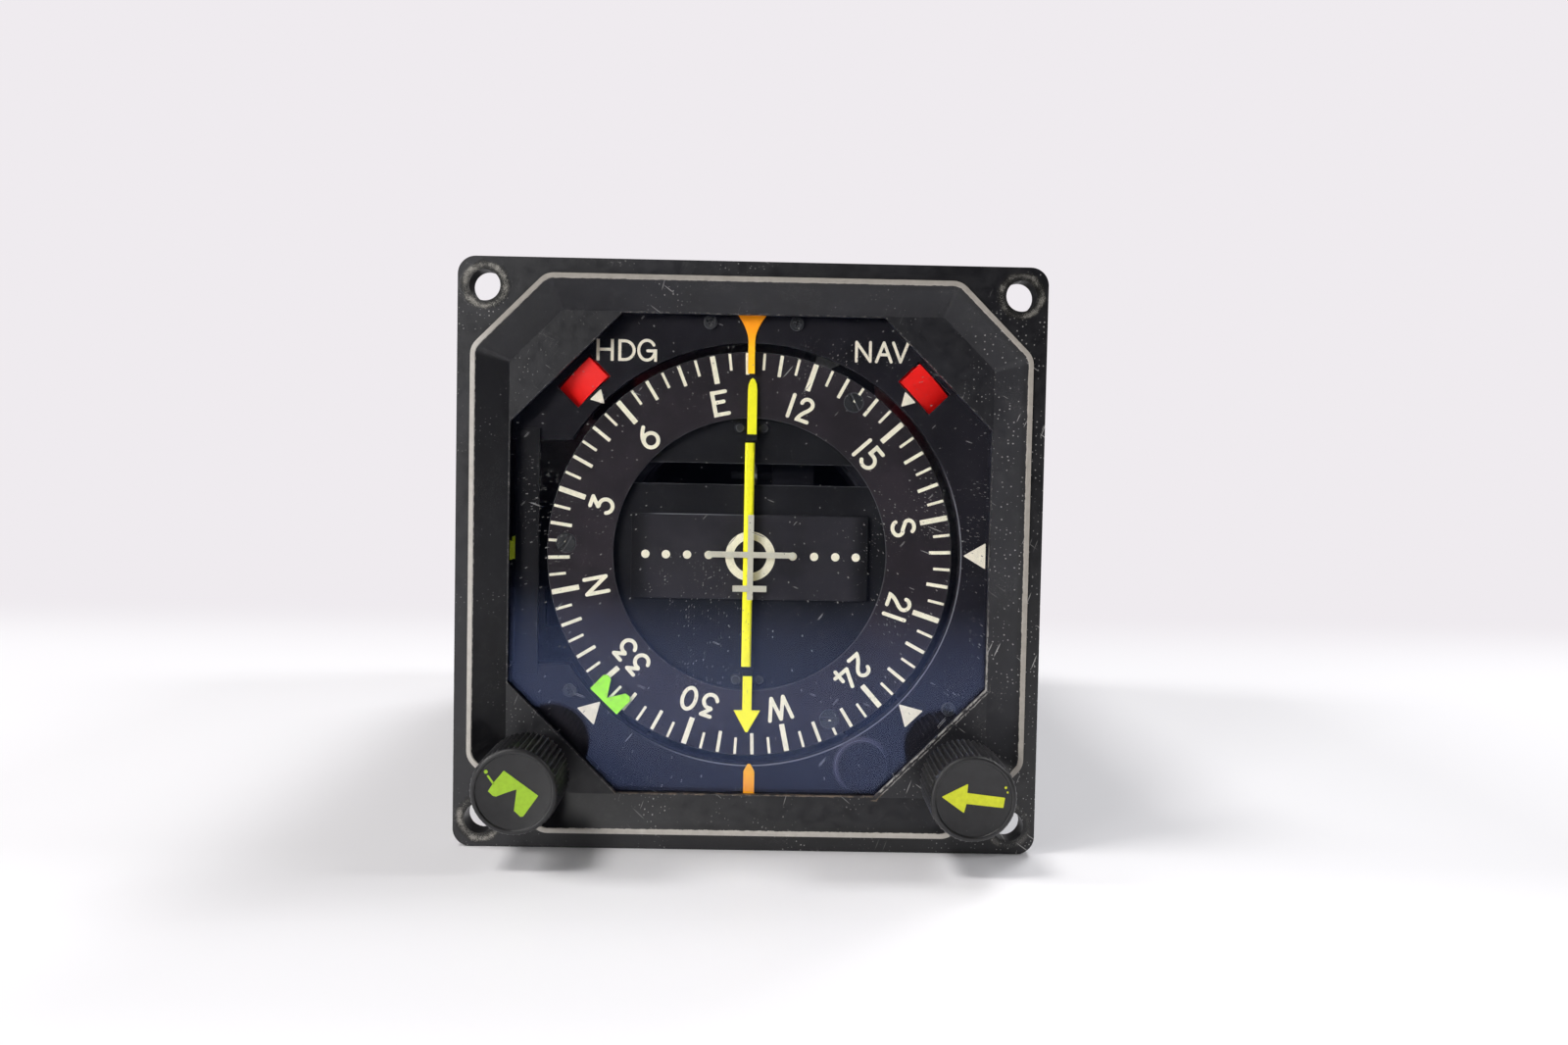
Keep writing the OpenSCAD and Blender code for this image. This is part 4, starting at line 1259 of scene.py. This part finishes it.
@dataclass
class Card:
    """The azimuth card with its graduations and numerals."""

    levels: Point = (5.15, 5.21)
    heading: float = 101.7
    rim: float = 37.3
    ticks: dict[int, Point] = field(
        default_factory=lambda: {5: (3.1, 0.5), 10: (4.0, 0.63), 30: (5.15, 0.97)})
    letter_radius: float = 28.95
    letter_half: float = 0.35
    words: tuple[tuple[str, Sequence[float], Point], ...] = (
        ("N", (0.0,), (-0.3, 0.0)), ("3", (0.0,), (-0.1, -0.1)), ("6", (0.0,), (0.0, -0.3)),
        ("E", (0.0,), (-0.1, -0.4)), ("12", (-1.95, 0.85), (0.0, -0.3)),
        ("15", (-1.6, 1.28), (0.0, -0.2)), ("S", (0.0,), (0.3, 0.0)),
        ("21", (-0.85, 1.9), (0.1, 0.2)), ("24", (-1.85, 1.8), (-0.2, 0.1)),
        ("W", (0.0,), (-0.1, 0.2)), ("30", (-1.9, 1.86), (-0.1, 0.0)),
        ("33", (-1.85, 1.85), (0.0, 0.0)))

    def graduations(self) -> Surface:
        """Makes the ticks, one thin block each, longer and wider at tens and thirties.

        Returns:
            All the ticks.
        """
        parts = []
        for angle in range(0, 360, 5):
            length, width = self.ticks[max(step for step in self.ticks if angle % step == 0)]
            corners = [(-width / 2, -length), (width / 2, -length), (width / 2, 0), (-width / 2, 0)]
            tick = prism(rounded(corners, 0.1, 2), *self.levels)
            parts.append(clockwise(tick, angle - self.heading, self.rim))
        return joined(parts)

    def numerals(self) -> Surface:
        """Cuts the numerals and letters, their tops outwards, one word each thirty degrees.

        Returns:
            All the words.
        """
        parts = []
        for order, (word, shifts, (aside, outward)) in enumerate(self.words):
            for sign, shift in zip(word, shifts):
                plate = NUMERALS[sign].plate(self.letter_half, self.levels, shift + aside)
                parts.append(clockwise(plate, 30 * order - self.heading,
                                       self.letter_radius + outward))
        return joined(parts)

    def build(self) -> None:
        """Dresses the card and prints it."""
        dress("azimuth_card", CARD_BLACK, "card_black", 0.1, 2, CARD_EDGE_HIGHLIGHT)
        dress("card_screws", SCREW_BLACK, "black_screw", 0.12, 2, SCREW_EDGE)
        set_piece("card_graduations", self.graduations(), "card", CREAM)
        set_piece("card_numerals", self.numerals(), "card", CREAM)
        dress("heading_bug", BUG_GREEN, "green_paint", 0.08)


@dataclass
class CourseDisc:
    """The course disc, the deviation scale, the course pointer and the deviation bar."""

    levels: Point = (5.55, 5.61)
    step: float = 0.09
    ring: Point = (3.08, 4.62)
    ring_at: Point = (0.1, -0.3)
    dots: tuple[float, ...] = (7.8, 11.8, 15.73, 19.53)
    dots_at: Point = (0.18, -0.17)
    dot_r: float = 0.77
    stub_levels: Point = (4.4, 5.6)
    stubs: tuple[Point, ...] = ((21.05, 22.6), (-22.8, -21.05))
    stub_half: float = 1.02
    roll: float = 0.46
    long_edge: float = 20.0

    def marks(self) -> Surface:
        """Cuts the ring and the dots: the lowest of the distances to the ring's band and dots.

        Returns:
            The closed plate.
        """
        x, z = np.arange(-21, 21, self.step), np.arange(-5.5, 5, self.step)
        across, up = np.meshgrid(x, z)
        inner, outer = self.ring
        far = np.hypot(across - self.ring_at[0], up - self.ring_at[1])
        values = np.abs(far - (inner + outer) / 2) - (outer - inner) / 2
        for place in self.dots:
            for side in (-1, 1):
                spot = np.hypot(across - self.dots_at[0] - side * place, up - self.dots_at[1])
                values = np.minimum(values, spot - self.dot_r)
        return plate_from_field(x, z, values, self.levels)

    def bar(self) -> bpy.types.Mesh:
        """Copies the deviation bar and rolls its two long front edges into a half round.

        Returns:
            The bar's mesh.
        """
        mesh = welded("deviation_bar")
        shape = bmesh.new()
        shape.from_mesh(mesh)
        front = min(vert.co.y for vert in shape.verts) + 0.01 * MM
        long = [edge for edge in shape.edges if edge.calc_length() > self.long_edge * MM
                and max(vert.co.y for vert in edge.verts) < front]
        bmesh.ops.bevel(shape, geom=long, offset=self.roll * MM, offset_type="OFFSET", segments=6,
                        profile=0.5, affect="EDGES", clamp_overlap=True)
        shape.to_mesh(mesh)
        shape.free()
        return mesh

    def build(self) -> None:
        """Dresses the disc and what turns with it."""
        dress("course_disc", DISC_BLACK, "matte_black", 0.12, 2, CARD_EDGE_HIGHLIGHT)
        dress("deviation_scale", PLATE_BLACK, "matte_black", 0.14, 2, PLATE_EDGE)
        dress("pointer_screws", SCREW_BLACK, "black_screw", 0.1, 2, SCREW_EDGE)
        dress("course_pointer", YELLOW, "yellow_paint", 0.16, 3)
        set_piece("deviation_bar_rounded", self.bar(), "deviation", YELLOW,
                  stands_for=("deviation_bar",), smooth_below=50)
        set_piece("deviation_marks", self.marks(), "course_rotor", RING_CREAM)
        half = self.stub_half
        blocks = [prism(rounded([(-half, low), (half, low), (half, high), (-half, high)], 0.2),
                        *self.stub_levels) for low, high in self.stubs]
        set_piece("pointer_black_ends", joined(blocks), "course_rotor", NEEDLE_BLACK,
                  edges=Break(0.1))


@dataclass
class Knob:
    """A fluted selector knob, with a sign painted in the shallow recess of its front."""

    node: str
    at: Point
    sign: str
    outlines: tuple[tuple[Point, ...], ...]
    specks: tuple[tuple[float, float, float], ...]
    paint: Finish
    slot: str
    front: float = -21.0
    back: float = -5.8
    radius: float = 7.6
    flutes: int = 48
    depth: float = 0.62
    bore: float = 3.02

    def profile(self) -> list[tuple[float, ...]]:
        """Draws the knob's outline, from the recess in its front round to the bore.

        Returns:
            Rows of level, radius and, where it is fluted, groove depth.
        """
        front, back, r, cut = self.front, self.back, self.radius, self.depth
        return [(front + 0.3, 6.3), (front + 0.27, 6.42), (front + 0.06, 6.5), (front, 6.58),
                (front, 6.95), (front + 0.05, 7.1), (front + 0.2, 7.24), (front + 0.55, 7.32),
                (front + 0.75, r - 0.2, 0.02), (front + 0.95, r - 0.08, 0.6 * cut),
                (front + 1.3, r, cut), (back - 0.9, r, cut), (back - 0.45, r - 0.05, 0.8 * cut),
                (back - 0.12, r - 0.25, 0.3 * cut), (back, r - 0.5), (back, self.bore),
                (front + 4, self.bore)]

    def build(self) -> None:
        """Makes the knob and its sign."""
        body = body_of(self.node)
        knob = turned(self.profile(), self.at, self.flutes * 8, self.flutes)
        set_piece(self.node + "_fluted", knob, body, KNOB_BLACK,
                  stands_for=(self.node,), smooth_below=50)
        levels = (self.front + 0.25, self.front + 0.31)
        parts = [prism(rounded(outline, 0.1, 2), *levels) for outline in self.outlines]
        parts += [turned([(levels[0], r), (levels[1], r)], (x, z), 12) for x, z, r in self.specks]
        set_piece(self.sign, joined(parts), body, self.paint)


@dataclass
class Flags:
    """The two warning flags, red strips of a drum."""

    def build(self) -> None:
        """Dresses both flags."""
        for node in ("heading_flag", "nav_flag"):
            dress(node, FLAG_RED, "red_paint", 0.08)


@dataclass
class Casing:
    """The case, its rear plate, screws and connectors."""

    def build(self) -> None:
        """Dresses the outside behind the bezel."""
        dress("case", CASE_PAINT, "case_paint", 0.25, 2, CASE_PAINT_EDGE)
        dress("rear_plate", CASE_PAINT, "case_paint", 0.25, 2, CASE_PAINT_EDGE)
        dress("case_screws", SCREW_STEEL, "steel", 0.06, 1)
        dress("rear_connectors", CONNECTOR, "connector_alloy", 0.12)


@dataclass
class Mechanism:
    """Everything inside the case, which keeps its CAD shapes and gets its finishes."""

    finishes: tuple[tuple[Finish, str], ...] = (
        (FRAME_BLACK, "front_frame"), (BOARD, "circuit_boards"), (COPPER, "synchro_rotor"),
        (ALLOY, "mid_frame rear_frame heading_differential course_differential"),
        (STEEL, "frame_posts frame_bearings course_bearing course_shaft heading_knob_shaft"
                " course_knob_shaft"),
        (MOTOR_CAN, "azimuth_motor synchro_stator course_resolver"), (INSULATOR, "brush_block"),
        (INNER_BLACK, "glideslope_meter flag_meters card_drum course_drum deviation_meter"
                      " to_from_meter"),
        (GEAR_BLACK, "card_gear bug_gear motor_pinion heading_input_gear heading_output_gear"
                     " course_input_gear"),
        (BRASS, "course_gear slip_rings course_output_gear resolver_gear"),
        (VANE_WHITE, "to_from_vane"), (POINTER_GREEN, "glideslope_pointer"))

    def build(self) -> None:
        """Gives each inner node its finish."""
        for finish, nodes in self.finishes:
            for node in nodes.split():
                refinish(node, finish)


@dataclass
class Studio:
    """The pale floor and surround, the lamps and the camera."""

    floor_level: float = -52.72
    reach: float = 2600.0
    middle: float = 60.0
    cells: int = 24
    table_edge: float = -620.0
    horizon: Point = (220.0, 420.0)
    rim: Point = (-150.0, -500.0)
    outer: Point = (700.0, 1500.0)
    shaded: Point = (100.0, 260.0)
    wall: Colour = srgb(239, 235, 239)
    table: Colour = srgb(246, 245, 248)
    target: Triple = (0.0, 40.0, 0.0)
    eye: Triple = (2.16, -258.61, 17.40)
    right: Triple = (0.999704, -0.014715, 0.019395)
    forward: Triple = (0.015534, 0.998964, -0.042767)
    up: Triple = (-0.018746, 0.043056, 0.998897)
    focal: float = 1450.0
    image_width: float = 1600.0
    sides: dict[str, float] = field(default_factory=lambda: {
        "left": 0.04, "right": 0.05, "above": 0.08, "front": 0.02, "behind": 0.06})
    lamps: tuple[tuple[str, Triple, float, float, Colour], ...] = (
        ("key_lamp", (-667, -216, 1438), 12.0, 460, (1.0, 0.985, 0.965)),
        ("left_lamp", (-1291, 227, 918), 10.2, 420, (1.0, 0.99, 0.98)),
        ("front_lamp", (-898, -1282, 333), 10.2, 420, (1.0, 0.995, 0.98)),
        ("right_lamp", (1291, 227, 918), 8.6, 420, (0.98, 0.99, 1.0)),
        ("far_right_lamp", (531, 531, 1413), 5.4, 420, (0.98, 0.99, 1.0)),
        ("far_lamp", (566, 980, 1131), 7.6, 420, (1.0, 1.0, 1.0)))

    def floor(self) -> None:
        """Lays the floor: a fine grid, pale near the object, with painted shade a little further
        out, and as the wall further off.
        """
        across = np.concatenate([-np.geomspace(self.reach, self.middle, self.cells),
                                 np.geomspace(self.middle, self.reach, self.cells)])
        x, y = np.meshgrid(across, np.linspace(self.table_edge, self.reach, 2 * self.cells))
        points = np.stack([x, y, np.full(x.shape, self.floor_level)], -1).reshape(-1, 3)
        number = np.arange(x.size).reshape(x.shape)
        quads = np.stack([number[:-1, :-1], number[:-1, 1:], number[1:, 1:], number[1:, :-1]], -1)
        sheet = Surface(points, (quads.reshape(-1, 4),)).mesh("floor")
        graph = Graph("pale_floor")
        place = graph.place()
        x, y, _ = place.parts()
        far = length(x, y)
        fade = y.ease(*self.horizon) | ((y - x * 0.35).ease(*self.rim) | far.ease(*self.outer))
        tone = place.noise(0.02, 3).mix(scaled(self.table, 0.985), self.table)
        # painted shade: the floor darkens a little further out and towards the right
        tone = (far + x * 0.3).ease(*self.shaded).mix(tone, scaled(self.table, 0.93))
        lit = graph.get("BsdfPrincipled", {"Base Color": tone, "Roughness": 0.45})
        dim = x.ease(-700, 700, (self.sides["left"], self.sides["right"]))
        glow = graph.get("LightPath", output="Is Camera Ray") | dim
        sky = graph.get("Emission", {"Color": self.wall, "Strength": glow})
        sheet.materials.append(graph.finish(graph.get("MixShader", {0: fade, 1: lit, 2: sky})))
        floor = bpy.data.objects.new("floor", sheet)
        bpy.context.scene.collection.objects.link(floor)

    def surround(self) -> None:
        """Makes the surround: a pale wall to look at, and a dim room in front of the glass."""
        world = bpy.data.worlds.new("surround")
        bpy.context.scene.world = world
        graph = Graph("surround", world)
        x, y, z = graph.get("TexCoord", output="Generated").parts()
        around = sum(axis.ease(low, high, (0, self.sides[side])) for side, axis, low, high in (
            ("left", x, -0.2, -0.85), ("right", x, 0.2, 0.85), ("above", z, 0.3, 0.85),
            ("front", y, 0.0, -0.6), ("behind", y, 0.0, 0.6)))
        strength = graph.get("LightPath", output="Is Camera Ray") | around
        graph.finish(graph.get("Background", {"Color": self.wall, "Strength": strength}))

    def lamp(self, name: str, at: Triple, watts: float, size: float, colour: Colour) -> None:
        """Hangs a square lamp that points at the object.

        Args:
            name: The lamp's name.
            at: Its place.
            watts: Its power.
            size: Its width.
            colour: Its light's colour.
        """
        light = bpy.data.lights.new(name, "AREA")
        light.energy, light.size, light.color = watts, size * MM, colour
        holder = bpy.data.objects.new(name, light)
        holder.location = Vector(at) * MM
        aim = Vector(self.target) * MM - holder.location
        holder.rotation_euler = aim.to_track_quat("-Z", "Y").to_euler()
        bpy.context.scene.collection.objects.link(holder)

    def camera(self) -> None:
        """Sets the camera at the photograph's place and angle."""
        lens = bpy.data.cameras.new("camera")
        lens.sensor_fit, lens.sensor_width = "HORIZONTAL", 36.0
        lens.lens = self.focal / self.image_width * lens.sensor_width
        lens.clip_start, lens.clip_end = 0.005, 20.0
        holder = bpy.data.objects.new("camera", lens)
        turn = Matrix((self.right, self.up, -Vector(self.forward))).transposed()
        holder.matrix_world = Matrix.Translation(Vector(self.eye) * MM) @ turn.to_4x4()
        bpy.context.scene.collection.objects.link(holder)
        bpy.context.scene.camera = holder

    def build(self) -> None:
        """Builds the whole studio."""
        bpy.context.scene.view_settings.view_transform = "Standard"
        self.floor()
        self.surround()
        for lamp in self.lamps:
            self.lamp(*lamp)
        self.camera()


HEADING_SIGN = (((-40.51, -35.45), (-42.27, -37.62), (-43.14, -39.01), (-42.31, -39.76),
                 (-41.76, -39.89), (-40.34, -39.31), (-38.3, -38.59), (-38.73, -42.26),
                 (-37.63, -43.28), (-37.15, -43.2), (-34.66, -39.64)),
                ((-43.38, -36.38), (-42.34, -37.86), (-42.05, -37.65), (-43.1, -36.2)))
COURSE_SIGN = (((33.43, -38.75), (37.29, -41.46), (37.69, -39.88), (43.95, -40.48),
                (44.23, -38.73), (37.79, -38.01), (37.9, -36.44)),)


def main() -> None:
    """Builds the studio, then every sub-assembly in order, and logs each one as it is done."""
    logging.basicConfig(level=logging.INFO, format="%(message)s")
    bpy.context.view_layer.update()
    Studio().build()
    parts = (Bezel(), Window(), Mask(), Card(), CourseDisc(), Flags(),
             Knob("heading_knob", (-38.9, -39.1), "heading_sign", HEADING_SIGN,
                  ((-43.51, -35.7, 0.34),), KNOB_GREEN, "green_paint"),
             Knob("course_knob", (38.9, -39.1), "course_sign", COURSE_SIGN,
                  ((44.3, -37.01, 0.22), (44.62, -37.82, 0.18)), KNOB_YELLOW, "yellow_paint"),
             Casing(), Mechanism())
    for part in parts:
        part.build()
        log.info("%s is done", type(part).__name__)


if __name__ == "__main__":
    main()
